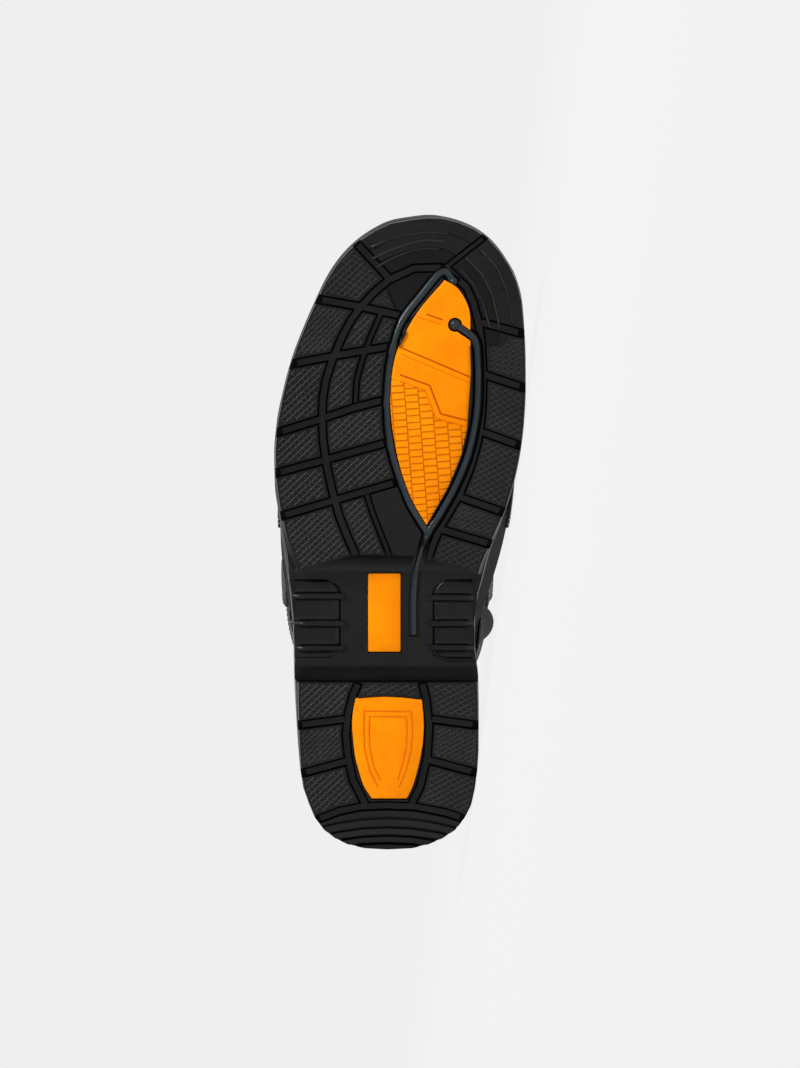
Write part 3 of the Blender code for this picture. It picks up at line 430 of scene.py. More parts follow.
SOLE_BLACK = (0.0046, 0.0045, 0.0048)
sole_rubber = outsole_rubber("sole_rubber", SOLE_BLACK, 0.36)
finish_with(outsole, sole_rubber, "outsole", "outsole")

# Knurling of the lugs: a mesh of fine raised lines moulded on each lug's top, inside a smooth
# border. Some lugs have a closer mesh with a third line across it, and one has fine ribs.
LOZENGE_WIDE = 4.2
LOZENGE_LONG = 3.0
FINE_WIDE = 3.3
FINE_LONG = 2.5
RIB_PITCH = 1.7
LUG_BORDER = 0.9
RIDGE_RADIUS = 0.36
FINE_RIDGE_RADIUS = 0.306
SOLE_LEAN = 8.0
# Lighter black of the knurl lines: a painted highlight along the ridges
KNURL_HIGHLIGHT_BLACK = (0.018, 0.018, 0.0185)
# Lighter black of the toe arcs, pad ribs and bead lips: a painted highlight on them
ARC_HIGHLIGHT_BLACK = (0.020, 0.020, 0.0205)


def tree_of(obj):
    bm = bmesh_of(obj.data)
    tree = BVHTree.FromBMesh(bm)
    bm.free()
    return tree


def under(tree, x, y):
    """Where a line straight up through the tread first meets a piece, in the boot's mm."""
    hit = tree.ray_cast(place(x, y, -30.0), BOOT_UP)[0]
    return on_boot(hit) if hit else None


def lug_tops(obj):
    """Each lug's top as its border, a list of edges in plan."""
    bm = bmesh_of(obj.data)
    bm.faces.ensure_lookup_table()
    top = set()
    for face in bm.faces:
        x, y, z = on_boot(face.calc_center_median())
        if face.normal.dot(-BOOT_UP) > 0.95 and abs(z - tread_rise(y)) < 0.45:
            top.add(face.index)
    borders = []
    while top:
        group = {top.pop()}
        front = list(group)
        while front:
            face = bm.faces[front.pop()]
            for edge in face.edges:
                for other in edge.link_faces:
                    if other.index in top:
                        top.remove(other.index)
                        group.add(other.index)
                        front.append(other.index)
        border = [
            [on_boot(v.co)[:2] for v in edge.verts]
            for index in group
            for edge in bm.faces[index].edges
            if sum(other.index in group for other in edge.link_faces) == 1
        ]
        area = sum(bm.faces[index].calc_area() for index in group) / MM**2
        borders.append((area, np.array(border)))
    bm.free()
    return borders


def runs_inside(border, start, way, length, margin, marks=(), step=0.4):
    """Stretches of a straight line that stay a margin inside a border and off any marks."""
    count = int(length / step) + 1
    points = start + np.outer(np.arange(count) * step, way)
    a, b = border[:, 0], border[:, 1]
    side = b - a
    px, py = points[:, :1], points[:, 1:]
    spans = (a[:, 1] > py) != (b[:, 1] > py)
    rise = np.where(np.abs(side[:, 1]) < 1e-9, 1e-9, side[:, 1])
    crossing = a[:, 0] + (py - a[:, 1]) * side[:, 0] / rise
    inside = (spans & (px < crossing)).sum(axis=1) % 2 == 1
    lengths = np.maximum((side**2).sum(axis=1), 1e-9)
    reach = ((px - a[:, 0]) * side[:, 0] + (py - a[:, 1]) * side[:, 1]) / lengths
    reach = np.clip(reach, 0, 1)
    gap = np.hypot(px - a[:, 0] - reach * side[:, 0], py - a[:, 1] - reach * side[:, 1])
    good = inside & (gap.min(axis=1) > margin)
    for (ax, ay), (bx, by), clear in marks:
        sx, sy = bx - ax, by - ay
        t = np.clip(((px - ax) * sx + (py - ay) * sy) / (sx * sx + sy * sy), 0, 1)
        good &= np.hypot(px - ax - t * sx, py - ay - t * sy)[:, 0] > clear
    runs = []
    first = None
    for k, fits in enumerate(list(good) + [False]):
        if fits and first is None:
            first = k
        if not fits and first is not None:
            if (k - 1 - first) * step > 0.9:
                runs.append((points[first], points[k - 1]))
            first = None
    return runs


def hatch(border, way, spacing, margin, marks=()):
    """Evenly spaced straight lines one way over a bordered patch."""
    way = np.array(way) / np.hypot(*way)
    normal = np.array((-way[1], way[0]))
    across = border.reshape(-1, 2) @ normal
    along = border.reshape(-1, 2) @ way
    lines = []
    for k in range(math.ceil(across.min() / spacing), math.floor(across.max() / spacing) + 1):
        start = normal * k * spacing + way * along.min()
        lines += runs_inside(border, start, way, along.max() - along.min(), margin, marks)
    return lines


def laid_on(tree, lines, lift_mm=0.0, step=5.0):
    """Lines in plan laid onto the underside of a piece, as strings of boot points."""
    strings = []
    for line in lines:
        string = []
        for a, b in zip(line, line[1:]):
            length = math.dist(a, b)
            count = max(1, math.ceil(length / step))
            for k in range(count + (b is line[-1])):
                t = k / count
                seat = under(tree, a[0] + (b[0] - a[0]) * t, a[1] + (b[1] - a[1]) * t)
                if seat:
                    string.append((seat[0], seat[1], seat[2] - lift_mm))
        if len(string) > 1:
            strings.append(string)
    return strings


def begun_tree(name, **inputs):
    """A Geometry Nodes tree with its named inputs, and the sockets that bring them in."""
    tree = bpy.data.node_groups.new(name, "GeometryNodeTree")
    for key, kind in {"Geometry": "Geometry", **inputs, "Material": "Material"}.items():
        tree.interface.new_socket(key, in_out="INPUT", socket_type="NodeSocket" + kind)
    tree.interface.new_socket("Geometry", in_out="OUTPUT", socket_type="NodeSocketGeometry")
    return tree, tree.nodes.new("NodeGroupInput").outputs


def ended_tree(tree, given, geometry):
    """Ends a tree in real geometry that carries its material."""
    whole = add_node(tree, "GeometryNodeRealizeInstances", {"Geometry": geometry})
    inputs = {"Geometry": whole.outputs["Geometry"], "Material": given["Material"]}
    coat = add_node(tree, "GeometryNodeSetMaterial", inputs)
    add_node(tree, "NodeGroupOutput", {"Geometry": coat.outputs["Geometry"]})
    return tree


def ridge_tree():
    """Geometry Nodes: a raised line of even width along each string of edges."""
    tree, given = begun_tree("raised_lines", Radius="Float", Sides="Int")
    lines = add_node(tree, "GeometryNodeMeshToCurve", {"Mesh": given["Geometry"]})
    profile = add_node(
        tree, "GeometryNodeCurvePrimitiveCircle",
        {"Radius": given["Radius"], "Resolution": given["Sides"]},
    )
    swept = add_node(tree, "GeometryNodeCurveToMesh", {
        "Curve": lines.outputs["Curve"],
        "Profile Curve": profile.outputs["Curve"],
        "Fill Caps": True,
    })
    return ended_tree(tree, given, swept.outputs["Mesh"])


def strings_object(name, strings):
    """A mesh of bare edges through strings of boot points."""
    verts, edges = [], []
    for string in strings:
        first = len(verts)
        verts += [place(*p) for p in string]
        edges += [(first + k, first + k + 1) for k in range(len(string) - 1)]
    mesh = bpy.data.meshes.new(name)
    mesh.from_pydata(verts, edges, [])
    return added(name, mesh)


def with_tree(obj, tree, **sizes):
    """Runs a node tree on an object with the named inputs, and keeps the result as a mesh."""
    modifier = obj.modifiers.new(tree.name, "NODES")
    modifier.node_group = tree
    sockets = {s.name: s.identifier for s in tree.interface.items_tree if s.in_out == "INPUT"}
    for name, value in sizes.items():
        modifier[sockets[name]] = value
    return plain(obj)


def faced_out(obj):
    bm = bmesh_of(obj.data)
    bmesh.ops.recalc_face_normals(bm, faces=bm.faces)
    bm.to_mesh(obj.data)
    bm.free()
    return obj


RAISED_LINES = ridge_tree()


def raised_lines(name, strings, radius, material, slot, sides=6):
    obj = strings_object(name, strings)
    with_tree(obj, RAISED_LINES, Radius=radius * MM, Sides=sides, Material=material)
    faced_out(obj)
    obj.data.shade_smooth()
    return finish_with(obj, material, slot)


# Places, as shares of the sole, of the lug tops that differ: smooth ones, and finely knurled ones
SMALLEST_TOP = 75.0
SMOOTH_ABOVE = 0.92
SMOOTH_BELOW = 0.075
SMOOTH_LUGS = ((0.526, -0.038), (0.897, -0.471))
FINE_LUGS = ((0.81, 0.30), (0.78, -0.46), (0.52, -0.36), (0.17, 0.27), (0.17, -0.27))
RIBBED_LUG = (0.869, 0.013)
RIBBED_WAY = (-0.80, -0.60)
outsole_tree = tree_of(outsole)
coarse, fine = [], []
for area, border in lug_tops(outsole):
    lengths = np.hypot(*(border[:, 1] - border[:, 0]).T)
    middle = np.average(border.mean(axis=1), axis=0, weights=lengths)
    at = (middle[1] / SOLE_LENGTH, middle[0] / BALL_WIDTH)
    smooth = any(math.dist(at, spot) < 0.03 for spot in SMOOTH_LUGS)
    if math.dist(at, RIBBED_LUG) < 0.02:
        fine.extend(hatch(border, RIBBED_WAY, RIB_PITCH, LUG_BORDER))
        continue
    if smooth or area < SMALLEST_TOP or not SMOOTH_BELOW < at[0] < SMOOTH_ABOVE:
        continue
    finely = any(math.dist(at, spot) < 0.06 for spot in FINE_LUGS)
    wide, long = (FINE_WIDE, FINE_LONG) if finely else (LOZENGE_WIDE, LOZENGE_LONG)
    spacing = wide * long / math.hypot(wide, long)
    turn = math.radians(-SOLE_LEAN if middle[0] > 0 else SOLE_LEAN)
    ways = [(wide, long), (wide, -long)] + ([(1.0, 0.0)] if finely else [])
    for way in ways:
        turned = (
            way[0] * math.cos(turn) - way[1] * math.sin(turn),
            way[0] * math.sin(turn) + way[1] * math.cos(turn),
        )
        gap = spacing if way[1] else long
        (fine if finely else coarse).extend(hatch(border, turned, gap, LUG_BORDER))
# The knurl lines take a lighter rubber that paints a highlight on them
knurl_highlight_rubber = outsole_rubber("knurl_highlight_rubber", KNURL_HIGHLIGHT_BLACK, 0.36)
arc_highlight_rubber = outsole_rubber("arc_highlight_rubber", ARC_HIGHLIGHT_BLACK, 0.28)
raised_lines("lug_mesh", laid_on(outsole_tree, coarse), RIDGE_RADIUS, knurl_highlight_rubber, "outsole")
raised_lines(
    "fine_lug_mesh", laid_on(outsole_tree, fine), FINE_RIDGE_RADIUS, knurl_highlight_rubber, "outsole"
)

# Toe arcs and the ribs of the arch pads: rounded lines moulded on the outsole in a lighter black
# that paints their highlights, in steps round the toe block and across the two pads under the
# waist, where they end in round tips
TOE_ARCS = (
    ((9.0, 292.5), (1.0, 296.0), (-6.5, 298.6), (-18.5, 300.2), (-29.0, 299.6)),
    ((7.0, 287.6), (-1.0, 291.4), (-10.0, 294.6), (-18.5, 296.4), (-27.0, 295.8)),
    ((5.0, 283.6), (-3.0, 288.0), (-11.0, 291.2), (-18.5, 292.6), (-25.0, 292.2)),
    ((-45.0, 292.0), (-52.5, 283.4), (-57.2, 272.3), (-59.6, 262.0), (-60.8, 253.5)),
    ((-38.0, 288.0), (-45.6, 280.0), (-50.5, 270.1), (-52.9, 260.0), (-53.8, 254.4)),
    ((-35.0, 283.0), (-41.0, 276.0), (-46.0, 266.5), (-48.4, 258.0), (-49.4, 255.0)),
)
PAD_RIBS = (
    ((21.0, 124.4), (34.0, 124.6), (45.5, 124.4)),
    ((20.0, 111.0), (34.0, 111.2), (46.0, 111.0)),
    ((21.0, 98.9), (34.0, 99.0), (46.0, 98.9)),
    ((-21.5, 123.8), (-34.0, 123.8), (-41.0, 123.6)),
    ((-21.5, 111.0), (-34.0, 111.2), (-42.0, 111.0)),
    ((-21.5, 99.2), (-34.0, 99.2), (-42.5, 99.0)),
)
ARC_RADIUS = 0.62
PAD_RIB_RADIUS = 1.35
raised_lines(
    "toe_arcs", laid_on(outsole_tree, TOE_ARCS, step=2.5), ARC_RADIUS, arc_highlight_rubber, "outsole"
)
raised_lines(
    "pad_ribs", laid_on(outsole_tree, PAD_RIBS, lift_mm=-0.2, step=2.5), PAD_RIB_RADIUS, arc_highlight_rubber,
    "outsole", sides=14,
)

# Arch pads: two soft cushions moulded on the outsole under the waist, one at each side, swelling
# between the ribs that cross them and rounded at their inner ends
PAD_FLOOR = 10.9
PAD_BULGE = 2.0
PAD_FROM = 93.6
PAD_TO = 132.6
PAD_ROUND = 8.0
PAD_EDGE = 2.6
PAD_THICK = 1.2
PAD_PLACES = (
    ("arch_pad_outer", 22.6, 44.6, (124.5, 111.1, 98.9)),
    ("arch_pad_inner", -22.2, -41.4, (123.8, 111.1, 99.2)),
)


def swell(gap, reach):
    """Rises as a quarter round from a border."""
    t = 1 - held(gap / reach)
    return math.sqrt(1 - t * t)


def arch_pad(name, near, far, ribs, wide=26, long=56):
    bm = bmesh.new()
    grid = []
    for j in range(long + 1):
        y = PAD_FROM + (PAD_TO - PAD_FROM) * j / long
        corner = PAD_ROUND - min(y - PAD_FROM, PAD_TO - y)
        cut_in = PAD_ROUND - math.sqrt(PAD_ROUND**2 - corner**2) if corner > 0 else 0.0
        start = near + math.copysign(cut_in, far)
        row = []
        for i in range(wide + 1):
            x = start + (far - start) * i / wide
            border = min(abs(x - start), (y - PAD_FROM) * 1.2, (PAD_TO - y) * 1.2)
            rib_gap = min(abs(y - rib) for rib in ribs) - 1.2
            rise = PAD_BULGE * swell(border, PAD_EDGE) * (0.45 + 0.55 * swell(rib_gap, 3.0))
            row.append(bm.verts.new(place(x, y, PAD_FLOOR - rise)))
        grid.append(row)
    for low, high in zip(grid, grid[1:]):
        for k in range(wide):
            bm.faces.new((low[k], low[k + 1], high[k + 1], high[k]))
    border = grid[0][:-1] + [row[-1] for row in grid[:-1]]
    border += grid[-1][:0:-1] + [row[0] for row in grid[:0:-1]]
    floor = [bm.verts.new(v.co + BOOT_UP * PAD_THICK * MM) for v in border]
    for k, vert in enumerate(border):
        n = (k + 1) % len(border)
        bm.faces.new((vert, border[n], floor[n], floor[k]))
    bm.faces.new(floor)
    bmesh.ops.recalc_face_normals(bm, faces=bm.faces)
    return finish_with(smoothed(object_of(bm, name), 60), sole_rubber, "outsole")


for pad_name, pad_near, pad_far, pad_ribs_at in PAD_PLACES:
    arch_pad(pad_name, pad_near, pad_far, pad_ribs_at)

# Inserts: three soft orange pieces bonded into the tread. The leaf of the forefoot has low steps
# at its top and rows of small bricks below them, and the shield of the heel has a framed face.
ORANGE = (0.955, 0.266, 0.0010)
# Painted shadow of the leaf's steps, on the upper line of each
STEP_SHADOW_ORANGE = (0.56, 0.090, 0.001)
# Painted shade on the foot line of each leaf step and on the shield's frame lines
SHADED_LINE_ORANGE = (0.86, 0.200, 0.001)
BRICK_WIDE = 6.45
BRICK_LONG = 3.3
BRICK_LEAN = 4.4
BRICK_GAP = 0.52
BRICK_REACH = 50.0
BRICK_TOPS = (
    (0.0, 231.0), (-6.3, 229.6), (-18.2, 225.3), (-23.3, 211.7), (-37.4, 208.0), (-50.0, 206.0),
)


def insert_orange(name, colour=ORANGE, bricks=False):
    """Satin orange rubber; with bricks, its lower part is cut into staggered pads, with painted shade
    in the gaps between them.
    """
    material, tree, shader, where = bare_material(name)
    red, green, blue = colour
    cloud = noise(tree, where, 70.0, 5.0)
    stops = (0.30, (red * 0.93, green * 0.88, blue, 1)), (0.62, (red, green * 1.05, blue, 1))
    shade = ramp(tree, cloud, *stops)
    grain = bumped(tree, noise(tree, where, 900.0), 0.35, 0.0001)
    wire(tree, shader, {
        "Base Color": shade,
        "Normal": grain,
        "Roughness": 0.50,
        "Specular IOR Level": 0.04,
        "Subsurface Weight": 0.05,
        "Subsurface Radius": (0.004, 0.0015, 0.0005),
    })
    if not bricks:
        return material
    along = boot_axes(tree, where)
    turn = (0, 0, math.radians(90 + BRICK_LEAN))
    columns = add_node(tree, "ShaderNodeMapping", {"Vector": along, "Rotation": turn})
    brick = add_node(tree, "ShaderNodeTexBrick", {
        "Vector": columns.outputs["Vector"],
        "Scale": 1.0,
        "Brick Width": BRICK_LONG * MM,
        "Row Height": BRICK_WIDE * MM,
        "Mortar Size": BRICK_GAP * MM,
        "Mortar Smooth": 1.0,
    })
    split = add_node(tree, "ShaderNodeSeparateXYZ", {"Vector": along}).outputs
    reach = mapped(tree, split["X"], 0.0, -BRICK_REACH * MM)
    tops = add_node(tree, "ShaderNodeFloatCurve", {"Value": reach})
    line = tops.mapping.curves[0]
    wanted = [(-x / BRICK_REACH, y / SOLE_LENGTH) for x, y in BRICK_TOPS]
    line.points[0].location = wanted[0]
    line.points[1].location = wanted[-1]
    for at in wanted[1:-1]:
        line.points.new(*at)
    for point in line.points:
        point.handle_type = "VECTOR"
    tops.mapping.update()
    top = maths(tree, "MULTIPLY", tops.outputs["Value"], SOLE_LENGTH * MM)
    below = mapped(tree, maths(tree, "SUBTRACT", split["Y"], top), 0.3 * MM, -0.3 * MM)
    cut = maths(tree, "MULTIPLY", brick.outputs["Fac"], below)
    # Painted shade: the sunk gaps between the bricks are tinted a darker orange
    wire(tree, shader, {
        "Base Color": mixed(tree, cut, shade, (red * 0.86, green * 0.62, blue, 1)),
        "Normal": bumped(tree, cut, 0.9, 0.0006, invert=True, Normal=grain),
    })
    return material


orange = insert_orange("orange_insert")
orange_bricks = insert_orange("orange_leaf_face", bricks=True)
shaded_line_orange = insert_orange("shaded_line_orange", SHADED_LINE_ORANGE)
step_shadow_orange = insert_orange("step_shadow_orange", STEP_SHADOW_ORANGE)


def smooth_path(points, step=2.0):
    """Points on a smooth curve through the given ones."""
    points = [Vector(p) for p in points]
    if len(points) == 2:
        return [tuple(p) for p in points]
    ends = [2 * points[0] - points[1]] + points + [2 * points[-1] - points[-2]]
    out = [tuple(points[0])]
    for a, b, c, d in zip(ends, ends[1:], ends[2:], ends[3:]):
        count = max(1, round((c - b).length / step))
        for k in range(1, count + 1):
            t = k / count
            curved = 2 * b + (c - a) * t + (2 * a - 5 * b + 4 * c - d) * t * t
            out.append(tuple((curved + (3 * b - a - 3 * c + d) * t**3) / 2))
    return out


def outline_with_corners(points, corners):
    """A closed outline that is smooth but for the corners at the given places in the list."""
    turned = points[corners[0]:] + points[: corners[0]] + [points[corners[0]]]
    stops = [c - corners[0] for c in corners] + [len(points)]
    out = []
    for a, b in zip(stops, stops[1:]):
        out += smooth_path(turned[a:b + 1])[:-1]
    return out


def prism(outline, rise):
    """A bmesh that stands on an outline of corners, and its top corners, moved by the rise."""
    bm = bmesh.new()
    face = bm.faces.new([bm.verts.new(corner) for corner in outline])
    made = bmesh.ops.extrude_face_region(bm, geom=[face])["geom"]
    tops = [v for v in made if isinstance(v, bmesh.types.BMVert)]
    bmesh.ops.translate(bm, verts=tops, vec=rise)
    return bm


def tread_piece(name, outline, low, high, material, slot, edge=0.4, rooms=()):
    """A flat piece of the tread over an outline in plan, with rooms cut out, bent to the spring."""
    bm = prism([(x, y, low) for x, y in outline], (0, 0, high - low))
    reach = [y for x, y in outline]
    for k in range(math.ceil(min(reach) / 6), math.ceil(max(reach) / 6)):
        parts = list(bm.verts) + list(bm.edges) + list(bm.faces)
        bmesh.ops.bisect_plane(bm, geom=parts, dist=0.001, plane_co=(0, 6 * k, 0), plane_no=(0, 1, 0))
    for vert in bm.verts:
        vert.co = place(vert.co.x, vert.co.y, vert.co.z + tread_rise(vert.co.y))
    bmesh.ops.recalc_face_normals(bm, faces=bm.faces)
    obj = object_of(bm, name)
    for room in rooms:
        tool = prism([place(x, y, -10.0) for x, y in room], BOOT_UP * 30.0 * MM)
        bmesh.ops.recalc_face_normals(tool, faces=tool.faces)
        cutter = object_of(tool, "room")
        cut = obj.modifiers.new("room", "BOOLEAN")
        cut.operation = "DIFFERENCE"
        cut.solver = "EXACT"
        cut.object = cutter
        plain(obj)
        bpy.data.objects.remove(cutter)
    return finish_with(smoothed(bevelled(obj, edge, 40), 40), material, slot, slot)


LUG_DEPTH = 4.0
INSERT_DROP = 1.0
LEAF = [
    (-27.6, 277.5), (-14.2, 261.5), (-4.8, 243.6), (-1.9, 225.8), (-2.4, 209.1), (-5.8, 190.3),
    (-11.6, 173.4), (-19.1, 160.2), (-29.3, 178.3), (-35.6, 193.7), (-38.4, 206.7), (-40.2, 232.5),
    (-39.9, 250.0), (-39.4, 263.2), (-34.4, 273.0),
]
SHIELD = [
    (15.1, 75.8), (3.4, 76.7), (-6.3, 76.4), (-16.9, 75.2), (-17.7, 65.9), (-17.7, 58.5),
    (-16.4, 47.4), (-13.0, 33.9), (-9.7, 26.5), (7.4, 26.5), (11.8, 33.9), (15.6, 47.4),
    (16.9, 60.7), (16.4, 69.6),
]
PATCH = [(9.2, 97.2), (9.2, 135.6), (-6.6, 135.6), (-6.6, 97.2)]
PATCH_LOW = 8.9
PATCH_HIGH = 10.8
STEM = ((-32.6, 256.3), (-46.0, 247.0))
STEM_ROOM = 2.1
STEM_END_ROOM = 3.4
stem_way = math.atan2(STEM[1][1] - STEM[0][1], STEM[1][0] - STEM[0][0])
stem_turn = math.asin(STEM_ROOM / STEM_END_ROOM)
stem_keyhole = [
    (STEM[0][0] + STEM_END_ROOM * math.cos(turn), STEM[0][1] + STEM_END_ROOM * math.sin(turn))
    for turn in np.linspace(stem_way + stem_turn, stem_way - stem_turn + 2 * math.pi, 24)
]
stem_keyhole += [
    (STEM[1][0] + side * math.sin(stem_way), STEM[1][1] - side * math.cos(stem_way))
    for side in (STEM_ROOM, -STEM_ROOM)
]
leaf = tread_piece(
    "leaf_insert", outline_with_corners(LEAF, [0, 7]), INSERT_DROP, LUG_DEPTH - 0.3, orange_bricks,
    "forefoot_insert", rooms=(stem_keyhole,),
)
shield = tread_piece(
    "shield_insert", outline_with_corners(SHIELD, [0, 3, 8, 9]), 0.5, LUG_DEPTH - 0.3, orange,
    "heel_insert",
)
tread_piece("waist_patch", PATCH, PATCH_LOW, PATCH_HIGH, orange, "waist_insert", edge=0.8)

# Low steps on the leaf and the frame line of the shield, moulded on their faces in darker orange: a
# painted shadow on the upper line of each step, and painted shade on its foot and on the frame
LEAF_STEPS = (
    ((-15.0, 262.7), (-30.4, 257.5)),
    ((-14.2, 260.4), (-29.6, 255.2)),
    ((-7.5, 245.2), (-39.6, 231.6)),
    ((-6.9, 242.4), (-39.4, 228.8)),
    ((-6.3, 232.6), (-20.4, 227.5), (-25.7, 213.9), (-38.3, 210.7)),
    ((-6.3, 229.6), (-18.2, 225.3), (-23.3, 211.7), (-37.4, 208.0)),
)
SHIELD_FRAME = (
    ((4.6, 32.6), (8.6, 40.4), (11.0, 51.0), (11.4, 60.0), (11.2, 69.9), (-11.7, 69.6), (-12.1, 60.0),
     (-11.6, 51.0), (-8.9, 40.4), (-5.8, 32.6)),
    ((3.6, 36.0), (6.8, 43.0), (8.6, 52.0), (8.9, 60.0), (8.6, 67.2), (-9.1, 67.0), (-9.5, 60.0),
     (-9.1, 52.0), (-7.0, 43.0), (-5.0, 36.0)),
)
LEAF_MESH_LOW = (
    (-60.0, 212.0), (-38.3, 211.6), (-26.0, 214.6), (-20.8, 228.2), (-6.3, 233.4), (10.0, 236.0),
)
LEAF_MESH_PITCH = 1.8
LEAF_MESH_RADIUS = 0.17
STEP_RADIUS = 0.42
STEP_FOOT_RADIUS = 0.32
STEP_CLEAR = 0.9
STEM_CLEAR = 4.2
leaf_tree = tree_of(leaf)
raised_lines(
    "leaf_steps", laid_on(leaf_tree, LEAF_STEPS[::2]), STEP_RADIUS, step_shadow_orange, "forefoot_insert"
)
raised_lines(
    "leaf_step_feet", laid_on(leaf_tree, LEAF_STEPS[1::2]), STEP_FOOT_RADIUS, shaded_line_orange,
    "forefoot_insert",
)
raised_lines(
    "shield_frame", laid_on(tree_of(shield), SHIELD_FRAME), STEP_RADIUS, shaded_line_orange, "heel_insert"
)
leaf_border = outline_with_corners(LEAF, [0, 7])
leaf_border = np.array(list(zip(leaf_border, leaf_border[1:] + leaf_border[:1])))
marks = [(*pair, STEP_CLEAR) for line in LEAF_STEPS for pair in zip(line, line[1:])]
marks.append((*STEM, STEM_CLEAR))
mesh_lines = [
    (a, b)
    for way in ((1.0, 1.0), (1.0, -1.0))
    for a, b in hatch(leaf_border, way, LEAF_MESH_PITCH, 1.0, marks)
    if (a[1] + b[1]) / 2 > np.interp((a[0] + b[0]) / 2, *zip(*LEAF_MESH_LOW))
]
raised_lines(
    "leaf_mesh", laid_on(leaf_tree, mesh_lines, lift_mm=-0.06), LEAF_MESH_RADIUS, orange,
    "forefoot_insert",
)

# Bead: a glossy blue-grey cord of rubber moulded into its channel round the leaf and down into the
# arch, with a hook at its top, a round-ended stem at the leaf's side and a narrow lip beside it.
BEAD_OUTER = (
    (-32.0, 276.9), (-26.7, 281.5), (-16.3, 270.1), (-6.3, 256.3), (-1.2, 236.5), (-0.1, 220.2),
    (-0.4, 208.5), (-2.8, 193.7), (-7.1, 180.5), (-11.1, 170.3), (-19.7, 156.2),
)
BEAD_INNER = (
    (-32.6, 256.3), (-39.4, 252.0), (-42.6, 247.9), (-43.6, 236.5), (-43.5, 220.2), (-42.1, 208.5),
    (-39.2, 195.3), (-35.2, 184.5), (-30.4, 174.3), (-25.2, 165.1), (-19.7, 156.2), (-17.1, 148.5),
    (-14.4, 138.6), (-13.5, 132.1), (-12.9, 121.0), (-13.0, 106.6),
)
BEAD_RADIUS = 1.75
BEAD_DROP = 0.7
HOOK_RADIUS = 2.1
STEM_RADIUS = 2.7
LIP_OUT = 2.9
LIP_RADIUS = 0.34
BEAD_BLUE = (0.020, 0.027, 0.032)
bead_gloss = outsole_rubber("bead_gloss", BEAD_BLUE, 0.22, grain=0.1, mottling=0.25, groove_shade_share=0.0)


def bead_height(x, y):
    """Middle height of the bead: in its channel, and down along the arch behind the leaf."""
    arch = float(np.interp(y, (0.0, 137.1, 141.7, 150.9, 154.6), (9.8, 9.8, 7.9, 4.3, BEAD_DROP)))
    return arch - 0.3 * (y < 137.1) + BEAD_RADIUS + tread_rise(y)


bead_paths = [
    [(x, y, bead_height(x, y)) for x, y in smooth_path(line, 1.6)] for line in (BEAD_OUTER, BEAD_INNER)
]
lips = []
for path, way, last in ((bead_paths[0], -1, None), (bead_paths[1][6:], -1, -34)):
    points = [Vector(p[:2]) for p in path[:last]]
    lip = []
    for k, point in enumerate(points):
        along = points[min(k + 1, len(points) - 1)] - points[max(k - 1, 0)]
        lip.append(tuple(point + Vector((-along.y, along.x)).normalized() * LIP_OUT * way))
    lips.append(lip)
# The lips take the lighter black of the toe arcs, a painted highlight along the channel's edge
raised_lines("bead_lips", laid_on(outsole_tree, lips), LIP_RADIUS, arc_highlight_rubber, "outsole")
bead = raised_lines("bead_cord", bead_paths, BEAD_RADIUS, bead_gloss, "channel_bead", sides=16)
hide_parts("channel_bead")


def ball(name, at, radius, material, slot):
    bm = bmesh.new()
    bmesh.ops.create_uvsphere(bm, u_segments=20, v_segments=12, radius=radius * MM)
    bmesh.ops.translate(bm, verts=bm.verts, vec=place(*at))
    obj = object_of(bm, name)
    obj.data.shade_smooth()
    return finish_with(obj, material, slot)


ball("bead_hook_end", bead_paths[0][0], HOOK_RADIUS, bead_gloss, "channel_bead")
ball("bead_stem_end", bead_paths[1][0], STEM_RADIUS, bead_gloss, "channel_bead")
ball("bead_tail_end", bead_paths[1][-1], BEAD_RADIUS, bead_gloss, "channel_bead")

# Midsole: a black foam body, cemented over the outsole, whose rim holds the foot of the upper.
# Its wall has a shallow band all round.
# Rows: along the sole, the seat under the foot and the top of the outsole, in mm
SOLE_HEIGHTS = (
    (0.00, 31.0, 15.5),
    (0.25, 30.5, 15.5),
    (0.36, 28.2, 15.0),
    (0.45, 24.0, 13.4),
    (0.52, 20.4, 9.6),
    (0.58, 18.0, 8.2),
    (0.66, 16.2, 7.8),
    (1.00, 15.5, 7.8),
)
FOAM_BLACK = (0.024, 0.0235, 0.024)
RIM_HEIGHT = 5.5
RIM_WIDTH = 3.0
SIDE_STEP = 0.9
FIT_GAP = 0.3
seat_height = smooth_curve([row[0] for row in SOLE_HEIGHTS], [row[1] for row in SOLE_HEIGHTS])
plate_height = smooth_curve([row[0] for row in SOLE_HEIGHTS], [row[2] for row in SOLE_HEIGHTS])


def seat_at(y):
    return seat_height(held(y / SOLE_LENGTH)) + tread_lift(y)


def plate_at(y):
    return plate_height(held(y / SOLE_LENGTH)) + tread_lift(y)


def lofted(name, rings, capped=False, open_ring=False):
    """A skin of quads through rings of boot points, with its ends closed where asked."""
    bm = bmesh.new()
    grid = [[bm.verts.new(place(*p)) for p in ring] for ring in rings]
    count = len(rings[0])
    for low, high in zip(grid, grid[1:]):
        for k in range(count - open_ring):
            n = (k + 1) % count
            bm.faces.new((low[k], low[n], high[n], high[k]))
    if capped:
        half = count // 2
        for ring in (grid[0], grid[-1]):
            for k in range(half):
                corners = [ring[k], ring[k + 1], ring[count - k - 1], ring[(count - k) % count]]
                bm.faces.new(list(dict.fromkeys(corners)))
    bmesh.ops.remove_doubles(bm, verts=bm.verts, dist=0.000001)
    bmesh.ops.recalc_face_normals(bm, faces=bm.faces)
    obj = object_of(bm, name)
    obj.data.shade_smooth()
    return obj


